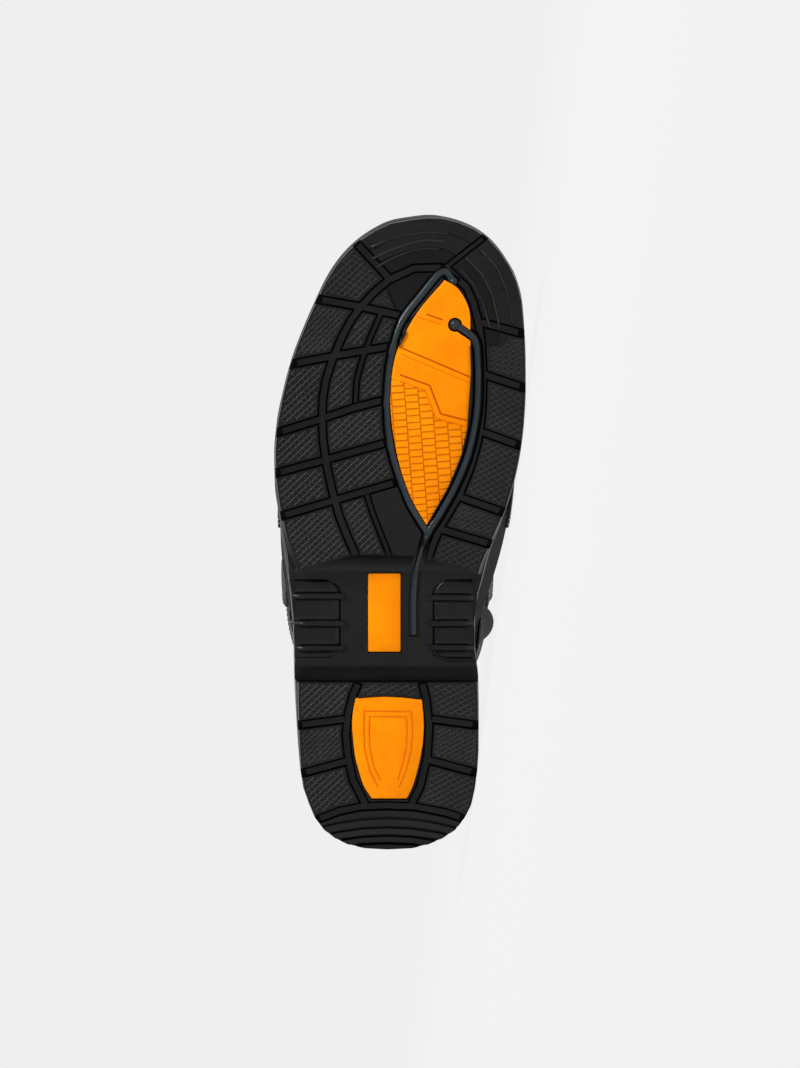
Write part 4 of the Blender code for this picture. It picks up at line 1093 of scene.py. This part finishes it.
def wall_at(share):
    """Height on the midsole's wall, from the outsole's top to the rim."""
    return lambda y: (plate_at(y) + FIT_GAP) * (1 - share) + (seat_at(y) + RIM_HEIGHT) * share


WALL_PROFILE = (
    (0.2, 0.0), (0.0, 0.06), (0.0, 0.32), (0.15, 0.345), (SIDE_STEP, 0.40), (SIDE_STEP, 0.52),
    (0.15, 0.575), (0.0, 0.60), (0.0, 0.88), (0.2, 0.95), (0.8, 0.995), (1.2, 1.0),
    (RIM_WIDTH - 0.3, 1.0), (RIM_WIDTH, 0.985),
)
midsole = lofted(
    "midsole_body",
    [sole_ring(inset, wall_at(share)) for inset, share in WALL_PROFILE]
    + [sole_ring(RIM_WIDTH, seat_at)],
    capped=True,
)
midsole.data.set_sharp_from_angle(angle=math.radians(50))
midsole_foam = outsole_rubber("midsole_foam", FOAM_BLACK, 0.58, grain=0.9)
finish_with(midsole, midsole_foam, "midsole", "midsole")

# Insole: a loose footbed of thin foam under dark cloth, cut to the inside of the upper
CLOTH = (0.075, 0.077, 0.080)


def insole_cloth():
    material, tree, shader, where = bare_material("insole_cloth")
    weave = add_node(tree, "ShaderNodeTexVoronoi", {"Vector": where, "Scale": 700.0})
    weave = weave.outputs["Distance"]
    wire(tree, shader, {
        "Base Color": ramp(tree, weave, (0.0, tone(CLOTH, 1.3)), (1.0, tone(CLOTH, 0.5))),
        "Roughness": 0.92,
        "Normal": bumped(tree, weave, 0.8, 0.0003, invert=True),
    })
    return material


finish_with(soft_moulding("insole", "footbed", 0.8), insole_cloth(), "insole", "insole")

# Upper: dark olive-black grained leather, lasted to the foot and closed at the sides, with a
# heel counter and a vamp laid over it and stitched down in double rows of pale thread.
# Rows: as in the solids, each ring's ends, rise over the rim, half widths and fullness
UPPER_COLUMNS = (
    "back_y", "back_z", "front_y", "front_z", "rise", "outer", "inner", "widest", "blunt_back",
    "blunt_front", "foot",
)
UPPER_RINGS = (
    (5.0, 37.0, 302.8, 22.0, 4.0, 52.0, 58.0, 0.62, 2.2, 2.2, 1.00),
    (4.0, 45.0, 303.8, 32.0, 9.0, 52.0, 58.0, 0.62, 2.2, 2.2, 1.00),
    (3.4, 54.0, 304.2, 45.0, 20.0, 52.0, 58.0, 0.62, 2.2, 2.2, 1.00),
    (3.6, 63.0, 302.0, 60.0, 31.0, 51.0, 57.0, 0.62, 2.2, 2.2, 0.98),
    (4.6, 73.0, 295.0, 74.0, 41.5, 49.5, 54.0, 0.60, 2.2, 2.2, 0.88),
    (6.4, 83.0, 280.0, 85.5, 50.5, 47.0, 49.5, 0.57, 2.2, 2.1, 0.68),
    (8.8, 94.0, 257.0, 95.5, 60.0, 45.0, 46.0, 0.53, 2.2, 2.1, 0.42),
    (11.8, 107.0, 230.0, 107.5, 71.0, 43.5, 43.5, 0.50, 2.2, 2.1, 0.20),
    (15.0, 122.0, 204.0, 123.5, 84.0, 43.0, 42.5, 0.49, 2.2, 2.1, 0.06),
    (17.6, 142.0, 187.0, 143.0, 100.0, 44.0, 43.0, 0.50, 2.2, 2.2, 0.00),
    (19.4, 168.0, 178.5, 168.0, 126.0, 47.2, 46.0, 0.51, 2.3, 2.3, 0.00),
    (20.0, 200.0, 175.0, 201.0, 158.0, 51.0, 49.6, 0.52, 2.4, 2.4, 0.00),
    (19.6, 240.0, 174.0, 243.0, 198.0, 55.4, 53.6, 0.53, 2.5, 2.5, 0.00),
    (19.0, 275.0, 174.5, 283.0, 238.0, 58.6, 56.6, 0.53, 2.5, 2.5, 0.00),
)

# Edges of the vamp and of the heel counter from the side, y and z in mm
VAMP_EDGE = (
    (156.0, 10.0), (155.5, 42.0), (158.5, 72.0), (165.0, 98.0), (169.5, 122.0), (168.0, 140.0),
    (172.0, 151.0), (190.0, 156.0),
)
COUNTER_EDGE = (
    (78.0, 10.0), (75.0, 45.0), (66.0, 70.0), (48.0, 92.0), (24.0, 106.0), (-6.0, 110.0),
)
TOE_DRIFT = 0.168
LEATHER = 2.1
OVERLAY = 1.2
FEATHER_GAP = 1.8
RING_STEPS = 76
ROWS_PER_RING = 12

# Creases of the worn leather: points from the side as y and z, half width, depth, and the sides
# that have them, 1 for the outer side only, -1 for the inner, 0 for both; a negative depth is a fold
CREASES = (
    (((232.0, 74.0), (222.0, 62.0), (219.0, 50.0)), 4.5, 0.9, 0),
    (((218.0, 110.0), (207.0, 90.0), (202.0, 66.0), (206.0, 50.0)), 5.5, 1.3, 0),
    (((224.0, 106.0), (214.0, 86.0), (211.0, 66.0)), 5.0, -0.9, 0),
    (((205.0, 124.0), (192.0, 104.0), (188.0, 84.0)), 6.0, 1.2, 0),
    (((196.0, 134.0), (176.0, 122.0), (158.0, 118.0), (140.0, 122.0)), 6.0, 1.7, 1),
    (((198.0, 128.0), (172.0, 116.0), (150.0, 114.0), (132.0, 122.0)), 6.5, 1.8, -1),
    (((192.0, 146.0), (164.0, 138.0), (128.0, 144.0), (104.0, 150.0)), 6.5, 1.5, 1),
    (((192.0, 144.0), (160.0, 134.0), (120.0, 136.0), (96.0, 150.0)), 7.0, 1.6, -1),
    (((190.0, 139.0), (160.0, 130.0), (132.0, 131.0)), 6.0, -1.1, 0),
    (((10.0, 118.0), (34.0, 122.0), (62.0, 130.0), (84.0, 142.0)), 7.0, 1.5, 1),
    (((10.0, 122.0), (36.0, 124.0), (64.0, 136.0), (88.0, 140.0)), 7.0, 1.4, -1),
    (((12.0, 134.0), (38.0, 138.0), (66.0, 146.0)), 7.5, -1.2, 0),
    (((12.0, 150.0), (40.0, 156.0), (72.0, 160.0)), 8.0, 1.2, 0),
    (((188.0, 168.0), (150.0, 162.0), (122.0, 172.0)), 8.0, 1.0, 0),
)
SLACK = 0.8
SLACK_FROM = 95.0
SLACK_RISE = 40.0


def near_line(line, y, z):
    """Distance in the side view to a line of points, and the share of the way along it."""
    best = (1e9, 0.0)
    for k, ((ya, za), (yb, zb)) in enumerate(zip(line, line[1:])):
        dy, dz = yb - ya, zb - za
        t = held(((y - ya) * dy + (z - za) * dz) / (dy * dy + dz * dz))
        gap = math.hypot(y - ya - dy * t, z - za - dz * t)
        if gap < best[0]:
            best = (gap, (k + t) / (len(line) - 1))
    return best


def leather_give(x, y, z):
    """How far the leather stands in or out from its last: creases, folds and a slight slack."""
    move = 0.0
    for line, half, depth, side in CREASES:
        if side * x < 0:
            continue
        gap, share = near_line(line, y, z)
        if gap < 3 * half:
            fade = math.sin(math.pi * (0.12 + 0.80 * share)) ** 0.6
            move -= depth * fade * math.exp(-((gap / half) ** 2))
    soft = held((z - SLACK_FROM) / SLACK_RISE)
    slow = math.sin(y * 0.061 + z * 0.043 + x * 0.021) * math.sin(z * 0.071 - y * 0.022 + 1.3)
    quick = math.sin(y * 0.13 - z * 0.09 + 0.7) * math.sin(z * 0.15 + x * 0.05)
    return move + SLACK * soft * (slow + 0.35 * quick)


def upper_ring(row):
    """One ring of the upper's outer face, from the back round by the outer side."""
    points = []
    for k in range(2 * RING_STEPS):
        up = k <= RING_STEPS
        angle = math.pi * (k if up else 2 * RING_STEPS - k) / RING_STEPS
        share = (1 - math.cos(angle)) / 2
        sign = 1 if up else -1
        y = row["back_y"] + (row["front_y"] - row["back_y"]) * share
        foot_x = sign * SIDE_CURVES[2 if up else 3](angle) * BALL_WIDTH
        widest = row["widest"]
        half = row["outer" if up else "inner"]
        front = share > widest
        reach = (share - widest) / (1 - widest) if front else (widest - share) / widest
        blunt = row["blunt_front" if front else "blunt_back"]
        oval_x = sign * half * max(1 - reach**blunt, 0.0) ** (1 / blunt)
        drift = TOE_DRIFT * BALL_WIDTH * share**1.5 * (y / SOLE_LENGTH)
        foot = row["foot"]
        x = foot * foot_x + (1 - foot) * (oval_x - drift * min(1.0, 2.2 * foot + 0.10))
        flat = row["back_z"] + (row["front_z"] - row["back_z"]) * share
        low = seat_at(y) + RIM_HEIGHT + row["rise"]
        ease = foot**0.5
        points.append(Vector((x, y, ease * low + (1 - ease) * flat)))
    return points


def upper_skin():
    """Rings of the outer face with the leather's creases, and the way out at each point."""
    curves = [
        smooth_curve([float(i) for i in range(len(UPPER_RINGS))], [row[k] for row in UPPER_RINGS])
        for k in range(len(UPPER_COLUMNS))
    ]
    count = (len(UPPER_RINGS) - 1) * ROWS_PER_RING + 1
    rings = []
    for k in range(count):
        values = [curve(k / ROWS_PER_RING) for curve in curves]
        rings.append(upper_ring(dict(zip(UPPER_COLUMNS, values))))
    inside = RIM_WIDTH + FEATHER_GAP
    feather = [
        [Vector(p) for p in sole_ring(inside, lambda y: seat_at(y) + drop, RING_STEPS)]
        for drop in (2 * FIT_GAP, 3.0, RIM_HEIGHT - 0.2)
    ]
    rings = feather + rings
    grid = np.array([[tuple(p) for p in ring] for ring in rings])
    around = np.roll(grid, -1, axis=1) - np.roll(grid, 1, axis=1)
    upward = np.gradient(grid, axis=0)
    out = np.cross(around, upward)
    out /= np.linalg.norm(out, axis=2, keepdims=True)
    give = np.array([[leather_give(*p) for p in ring] for ring in grid])
    give[: len(feather) + 4] = 0
    return grid + out * give[:, :, None], out


SKIN, SKIN_OUT = upper_skin()
FEATHER_ROWS = 3


def walled(obj, thickness, edge_mm=0.0):
    """Gives a skin its thickness inwards and, where asked, a rounded rim."""
    wall = obj.modifiers.new("wall", "SOLIDIFY")
    wall.thickness = thickness * MM
    wall.offset = -1
    wall.use_even_offset = False
    plain(obj)
    if edge_mm:
        bevelled(obj, edge_mm, 50)
    return smoothed(obj, 60)


LEATHER_DARK = (0.0185, 0.0178, 0.0145)
LINING_TAN = (0.10, 0.085, 0.06)


def boot_leather(name, colour, roughness=0.50, pebble=1.0, wax=0.08):
    """Grained leather: pebbled cells, pull-up tones in broad clouds, and a thin waxy coat."""
    material, tree, shader, where = bare_material(name)
    cloud = noise(tree, where, 26.0, 7.0, 0.65)
    shade = ramp(tree, cloud, (0.30, tone(colour, 0.62)), (0.78, tone(colour, 1.75)))
    inputs = {"Vector": where, "Scale": 620.0}
    cells = add_node(tree, "ShaderNodeTexVoronoi", inputs, feature="DISTANCE_TO_EDGE")
    pores = mapped(tree, cells.outputs["Distance"], 0.0, 0.16)
    grain = bumped(tree, noise(tree, where, 1700.0, 3.0), 0.35 * pebble, 0.00012)
    wire(tree, shader, {
        "Base Color": mixed(tree, 0.45, shade, pores, "MULTIPLY"),
        "Specular IOR Level": 4 * wax,
        "Coat Weight": wax,
        "Coat Roughness": 0.38,
        "Roughness": mapped(tree, cloud, 0.0, 1.0, roughness - 0.10, roughness + 0.16),
        "Normal": bumped(tree, pores, 0.50 * pebble, 0.00022, Normal=grain),
    })
    return material


leather = boot_leather("boot_leather", LEATHER_DARK)
lining = boot_leather("lining", LINING_TAN, 0.80, pebble=0.5)
upper = lofted("upper_leather", [[tuple(p) for p in ring] for ring in SKIN])
walled(upper, LEATHER)
finish_with(upper, leather, "upper", "upper")
upper.data.materials.append(lining)
centre_line = [np.mean(ring, axis=0) for ring in SKIN]
for face in upper.data.polygons:
    x, y, z = on_boot(face.center)
    row = min(range(len(centre_line)), key=lambda j: abs(centre_line[j][2] - z))
    away = Vector((x, y, z)) - Vector(centre_line[row])
    normal = Vector((face.normal.dot(OUTER_WAY), face.normal.dot(TOE_WAY), face.normal.dot(BOOT_UP)))
    if normal.dot(away) < 0:
        face.material_index = 1

# Vamp and heel counter: second layers of the same leather over the front and the heel, each with
# a skived edge and two rows of pale yellow-green thread along it.
THREAD = (0.50, 0.52, 0.27)
DARK_THREAD = (0.010, 0.010, 0.009)
STITCH_PITCH = 2.7
STITCH_LENGTH = 2.0
STITCH_THICK = 0.62
SEAM_INSETS = (2.3, 4.5)
PANEL_COLUMNS = 110
PANEL_SUNK = 0.3
PANEL_EDGE = 0.45
THREAD_PROUD = 0.05
COUNT = 2 * RING_STEPS


def skin_point(row, column, proud=0.0):
    """A point of the upper's face at a row and between columns, standing proud by some mm."""
    low = math.floor(column)
    t = column - low
    a = SKIN[row][low % COUNT] + SKIN_OUT[row][low % COUNT] * proud
    b = SKIN[row][(low + 1) % COUNT] + SKIN_OUT[row][(low + 1) % COUNT] * proud
    return a * (1 - t) + b * t


def walked(row, column, distance):
    """The column some mm further along a row."""
    steps = max(1, math.ceil(abs(distance)))
    for _ in range(steps):
        spacing = np.linalg.norm(skin_point(row, column + 0.5) - skin_point(row, column - 0.5))
        column += distance / steps / max(spacing, 0.05)
    return column


def crossings(row, edge, front):
    """Columns, outer then inner, where a row meets an edge that is drawn from the side."""
    reach = smooth_curve([z for y, z in edge], [y for y, z in edge])

    def past(column):
        x, y, z = skin_point(row, column)
        inside = (y - reach(z)) if front else (reach(z) - y)
        return inside if z < edge[-1][1] else -1.0

    found = []
    for side in (1, -1):
        columns = [side * k for k in range(RING_STEPS + 1)]
        if front:
            columns = columns[::-1]
        if past(columns[0]) <= 0:
            return None
        for a, b in zip(columns, columns[1:]):
            if past(b) <= 0:
                t = past(a) / (past(a) - past(b))
                found.append(a + (b - a) * t)
                break
        else:
            return None
    return found


def panel_rows(edge, front):
    """For each row that a panel covers, its first and last column, going the short way round."""
    rows = []
    for row in range(FEATHER_ROWS, len(SKIN)):
        ends = crossings(row, edge, front)
        if ends is None:
            break
        outer, inner = ends
        rows.append((row, outer, COUNT + inner) if front else (row, inner, outer))
    return rows


def panel(name, rows, proud, columns=PANEL_COLUMNS, padding=None, finish=leather):
    """A layer of leather over part of the upper, as a skin through the rows it covers."""
    rings = []
    for row, first, last in rows:
        ring = []
        for k in range(columns):
            share = k / (columns - 1)
            height = proud + (padding(row, share) if padding else 0.0)
            ring.append(tuple(skin_point(row, first + (last - first) * share, height)))
        rings.append(ring)
    obj = lofted(name, rings, open_ring=True)
    middle = skin_point(rows[0][0], (rows[0][1] + rows[0][2]) / 2)
    face = min(obj.data.polygons, key=lambda f: (f.center - place(*middle)).length)
    outward = place(*skin_point(rows[0][0], (rows[0][1] + rows[0][2]) / 2, 10.0)) - place(*middle)
    if face.normal.dot(outward) < 0:
        obj.data.flip_normals()
    walled(obj, proud + PANEL_SUNK, PANEL_EDGE)
    return finish_with(obj, finish, "upper", "upper")


def stitch_tree():
    """Geometry Nodes: one small rounded stitch at each step along strings of edges."""
    tree, given = begun_tree("stitch_rows", Pitch="Float", Length="Float", Thickness="Float")
    lines = add_node(tree, "GeometryNodeMeshToCurve", {"Mesh": given["Geometry"]})
    points = add_node(tree, "GeometryNodeCurveToPoints", {}, mode="LENGTH")
    wire(tree, points, {"Curve": lines.outputs["Curve"], "Length": given["Pitch"]})
    turned = add_node(
        tree, "FunctionNodeAlignRotationToVector", {"Vector": points.outputs["Tangent"]}, axis="Z"
    )
    thread = add_node(
        tree, "GeometryNodeMeshUVSphere", {"Segments": 7, "Rings": 5, "Radius": 0.5}
    )
    thick = given["Thickness"]
    size = add_node(tree, "ShaderNodeCombineXYZ", {"X": thick, "Y": thick, "Z": given["Length"]})
    rows = add_node(tree, "GeometryNodeInstanceOnPoints", {
        "Points": points.outputs["Points"],
        "Instance": thread.outputs["Mesh"],
        "Rotation": turned.outputs["Rotation"],
        "Scale": size.outputs["Vector"],
    })
    return ended_tree(tree, given, rows.outputs["Instances"])


def thread_finish(name, colour):
    """Waxed thread, slightly uneven in tone."""
    material, tree, shader, where = bare_material(name)
    cloud = noise(tree, where, 260.0)
    shade = ramp(tree, cloud, (0.30, tone(colour, 0.55)), (0.70, tone(colour, 1.15)))
    wire(tree, shader, {"Base Color": shade, "Roughness": 0.55})
    return material


STITCH_ROWS = stitch_tree()
pale_thread = thread_finish("pale_thread", THREAD)
dark_thread = thread_finish("dark_thread", DARK_THREAD)


def stitched(name, strings, material):
    obj = strings_object(name, strings)
    with_tree(
        obj, STITCH_ROWS, Pitch=STITCH_PITCH * MM, Length=STITCH_LENGTH * MM,
        Thickness=STITCH_THICK * MM, Material=material,
    )
    obj.data.shade_smooth()
    return finish_with(obj, material, "upper")


def seam_strings(rows, proud, insets):
    """Strings beside both edges of a panel, at each inset from them."""
    strings = []
    for inset in insets:
        wide = [r for r in rows if r[2] - r[1] > 10]
        strings.append([tuple(skin_point(r, walked(r, a, inset), proud)) for r, a, b in wide])
        strings.append([tuple(skin_point(r, walked(r, b, -inset), proud)) for r, a, b in wide])
    return strings


vamp_rows = panel_rows(VAMP_EDGE, front=True)
counter_rows = panel_rows(COUNTER_EDGE, front=False)
panel("vamp", vamp_rows, OVERLAY)
panel("heel_counter", counter_rows, OVERLAY)
for name, rows in (("vamp_stitches", vamp_rows), ("counter_stitches", counter_rows)):
    stitched(name, seam_strings(rows, OVERLAY + THREAD_PROUD, SEAM_INSETS), pale_thread)

# Side straps and collar band: a narrow strip of leather, padded at the ankle, covers the closing
# seam at each side, and the top of the shaft has a turned edge, both stitched in dark thread.
# Sizes of the straps in mm: 1 for the outer side, -1 for the inner
STRAP_MIDDLES = {1: 108.0, -1: 100.0}
STRAP_HALVES = {1: 5.5, -1: 10.0}
STRAP_PADS = {1: 2.8, -1: 7.0}
STRAP_COLUMNS = 21
STRAP_BORDER = 2.4
STRAP_SEAM = 1.6
PAD_HEIGHT = 88.0
PAD_LENGTH = 34.0
STRAP_PROUD = 0.55
STRAP_TOP = 236.0
BAND_BOTTOM = 266.0
BAND_PROUD = 0.25


def column_at(row, y, side):
    """The column of a row at a place along the boot, on its outer or its inner side."""
    for k in range(RING_STEPS):
        a, b = skin_point(row, side * k)[1], skin_point(row, side * (k + 1))[1]
        if a <= y < b:
            return side * (k + (y - a) / (b - a))
    return side * RING_STEPS


def strap_rows(side):
    middle, half = STRAP_MIDDLES[side], STRAP_HALVES[side]
    rows = []
    for row in range(FEATHER_ROWS, len(SKIN)):
        if skin_point(row, column_at(row, middle, side))[2] > STRAP_TOP:
            break
        ends = [column_at(row, middle - half, side), column_at(row, middle + half, side)]
        rows.append((row, min(ends), max(ends)))
    return rows


def strap_padding(side):
    """Soft padding in the middle of a strap, thickest at the ankle."""
    def thickness(row, share):
        half = STRAP_HALVES[side]
        inward = min(share, 1 - share) * 2 * half - STRAP_BORDER
        height = skin_point(row, column_at(row, STRAP_MIDDLES[side], side))[2]
        fade = math.exp(-((height - PAD_HEIGHT) / PAD_LENGTH) ** 2)
        return STRAP_PADS[side] * swell(inward, half - STRAP_BORDER) * fade

    return thickness


strap_leather = boot_leather("strap_leather", LEATHER_DARK, 0.66, wax=0.02)
for side, name in ((1, "outer"), (-1, "inner")):
    rows = strap_rows(side)
    panel(
        "side_strap_" + name, rows, STRAP_PROUD, STRAP_COLUMNS, strap_padding(side), strap_leather
    )
    proud = STRAP_PROUD + THREAD_PROUD
    strings = [
        [tuple(skin_point(row[0], walked(row[0], row[end], inset), proud)) for row in rows]
        for end, inset in ((1, STRAP_SEAM), (2, -STRAP_SEAM))
    ]
    stitched("strap_stitches_" + name, strings, dark_thread)

band_rows = [
    (row, 0.0, float(COUNT)) for row in range(len(SKIN)) if SKIN[row][RING_STEPS // 2][2] > BAND_BOTTOM
]
panel("collar_band", band_rows, BAND_PROUD, COUNT + 1)
proud = BAND_PROUD + THREAD_PROUD
band_line = [tuple(skin_point(band_rows[1][0], float(k), proud)) for k in range(COUNT + 1)]
stitched("collar_stitches", [band_line], dark_thread)

# Pull loops: a strap of doubled webbing-backed leather folded over the collar at each side, sewn
# down inside and out with a box of stitches
LOOP_DARK = (0.021, 0.0205, 0.018)
LOOP_HALF = 10.0
LOOP_THICK = 2.0
LOOP_RISE = 9.0
LOOP_OUTSIDE = 46.0
LOOP_INSIDE = 40.0
LOOP_SEAM = 1.8
LOOP_LINES = 9
TOP_ROW = len(SKIN) - 1


def loop_line(side, y, proud):
    """One line of a loop's strap, up the outside, over the collar and down the inside."""
    out = LOOP_THICK / 2 + FIT_GAP
    top = Vector(skin_point(TOP_ROW, column_at(TOP_ROW, y, side)))
    outside, inside = [], []
    for row in range(TOP_ROW, 0, -1):
        column = column_at(row, y, side)
        drop = top.z - skin_point(row, column)[2]
        if drop <= LOOP_OUTSIDE:
            outside.append(Vector(skin_point(row, column, out + proud)))
        if drop <= LOOP_INSIDE:
            inside.append(Vector(skin_point(row, column, -LEATHER - out - proud)))
    middle = (outside[0] + inside[0]) / 2
    reach = (outside[0] - inside[0]) / 2
    bow = []
    for step in range(1, 12):
        angle = math.pi * step / 12
        lift = LOOP_RISE * (0.35 + 0.65 * math.sin(angle)) + proud * math.sin(angle)
        bow.append(middle + reach * math.cos(angle) + Vector((0, 0, lift)))
    return [tuple(p) for p in outside[::-1] + bow + inside]


def loop_middle(side):
    """Where along the boot the solid's loop has its middle, from its box."""
    node = "pull_loop_outer" if side > 0 else "pull_loop_inner"
    places = [on_boot(v.co)[1] for v in frame["nodes"][node].data.vertices]
    return (min(places) + max(places)) / 2


webbing = boot_leather("loop_leather", LOOP_DARK, 0.62, pebble=1.2)
for side, name in ((1, "outer"), (-1, "inner")):
    middle = loop_middle(side)
    lines = [
        loop_line(side, middle + LOOP_HALF * (2 * k / (LOOP_LINES - 1) - 1), 0.0)
        for k in range(LOOP_LINES)
    ]
    obj = lofted("loop_strap_" + name, lines, open_ring=True)
    strap = obj.modifiers.new("strap", "SOLIDIFY")
    strap.thickness = LOOP_THICK * MM
    strap.offset = 0
    smoothed(faced_out(bevelled(obj, 0.5, 50)), 60)
    finish_with(obj, webbing, "pull_loop_" + name, "pull_loop_" + name)
    proud = LOOP_THICK / 2 + 0.02
    seams = [
        loop_line(side, middle + share * (LOOP_HALF - LOOP_SEAM), proud)
        for share in (1, 0.5, 0, -0.5, -1)
    ]
    sides = (seams[0], seams[-1])
    rows = [line[1:12] for line in sides] + [line[-11:-1] for line in sides]
    cross = [[line[at] for line in seams[::-1]] for at in (1, 11)]
    stitched("loop_stitches_" + name, rows + cross, dark_thread)

# Floor and backdrop: a seamless pale sweep that glows a little, so that only soft shadows show
SWEEP_HALF = 5.0
SWEEP_DEPTH = 4.6
SWEEP_RADIUS = 1.6
SWEEP_HIGH = 5.0
SWEEP_FRONT = 60.0
SWEEP_STEPS = 16
PAPER_GLOW = 0.853
profile = [(-SWEEP_FRONT, 0.0), (SWEEP_DEPTH - SWEEP_RADIUS, 0.0)]
for step in range(1, SWEEP_STEPS + 1):
    angle = math.pi / 2 * step / SWEEP_STEPS
    back = SWEEP_DEPTH - SWEEP_RADIUS + SWEEP_RADIUS * math.sin(angle)
    profile.append((back, SWEEP_RADIUS * (1 - math.cos(angle))))
profile.append((SWEEP_DEPTH, SWEEP_HIGH))
verts = [(x, y, z) for y, z in profile for x in (-SWEEP_HALF, SWEEP_HALF)]
faces = [(2 * k, 2 * k + 1, 2 * k + 3, 2 * k + 2) for k in range(len(profile) - 1)]
mesh = bpy.data.meshes.new("sweep")
mesh.from_pydata(verts, [], faces)
sweep = added("sweep", mesh)
mesh.shade_smooth()
paper = bpy.data.materials.new("studio_paper")
paper.use_nodes = True
wire(paper.node_tree, paper.node_tree.nodes["Principled BSDF"], {
    "Base Color": (0.03, 0.03, 0.03, 1),
    "Roughness": 1.0,
    "Specular IOR Level": 0.0,
    "Emission Color": (1, 1, 1, 1),
    "Emission Strength": PAPER_GLOW,
})
mesh.materials.append(paper)

world = bpy.data.worlds.new("studio")
bpy.context.scene.world = world
world.use_nodes = True
wire(world.node_tree, world.node_tree.nodes["Background"], {
    "Color": (0.55, 0.55, 0.56, 1),
    "Strength": 0.16,
})

# Lights: three soft square lamps that face the boot
BOOT_MIDDLE = place(0.0, 150.0, 30.0)


def softbox(name, where, size, power):
    """A square light that faces the boot, with its size in metres and its power in watts."""
    light = bpy.data.lights.new(name, "AREA")
    light.shape = "RECTANGLE"
    light.size = size
    light.size_y = size
    light.energy = power
    obj = added(name, light)
    obj.location = where
    obj.rotation_euler = (BOOT_MIDDLE - Vector(where)).to_track_quat("-Z", "Y").to_euler()


softbox("key", place(1150.0, 1100.0, -820.0), 0.6, 32.0)
softbox("fill", BOOT_MIDDLE + Vector((-1.1, -1.2, 0.55)), 0.9, 6.0)
softbox("top", BOOT_MIDDLE + Vector((0.1, 0.5, 1.6)), 1.2, 12.0)

# Camera: square to the sole but for a slight lean towards the toe, which fills the picture's height
CAMERA_DISTANCE = 1590.0
CAMERA_ALONG = 350.0
AIM = (-6.3, 156.0, 0.0)
PICTURE_HIGH = 513.2
SENSOR_HIGH = 36.0
camera_data = bpy.data.cameras.new("camera")
camera = added("camera", camera_data)
eye = place(AIM[0], CAMERA_ALONG, -CAMERA_DISTANCE)
aim = place(*AIM)
forward = (aim - eye).normalized()
rightward = forward.cross(TOE_WAY).normalized()
upward = rightward.cross(forward)
turn = Matrix((rightward, upward, -forward)).transposed().to_4x4()
camera.matrix_world = Matrix.Translation(eye) @ turn
camera_data.sensor_fit = "VERTICAL"
camera_data.sensor_height = SENSOR_HIGH
camera_data.lens = SENSOR_HIGH * (aim - eye).length / (PICTURE_HIGH * MM)
bpy.context.scene.camera = camera
bpy.context.scene.view_settings.view_transform = "Standard"
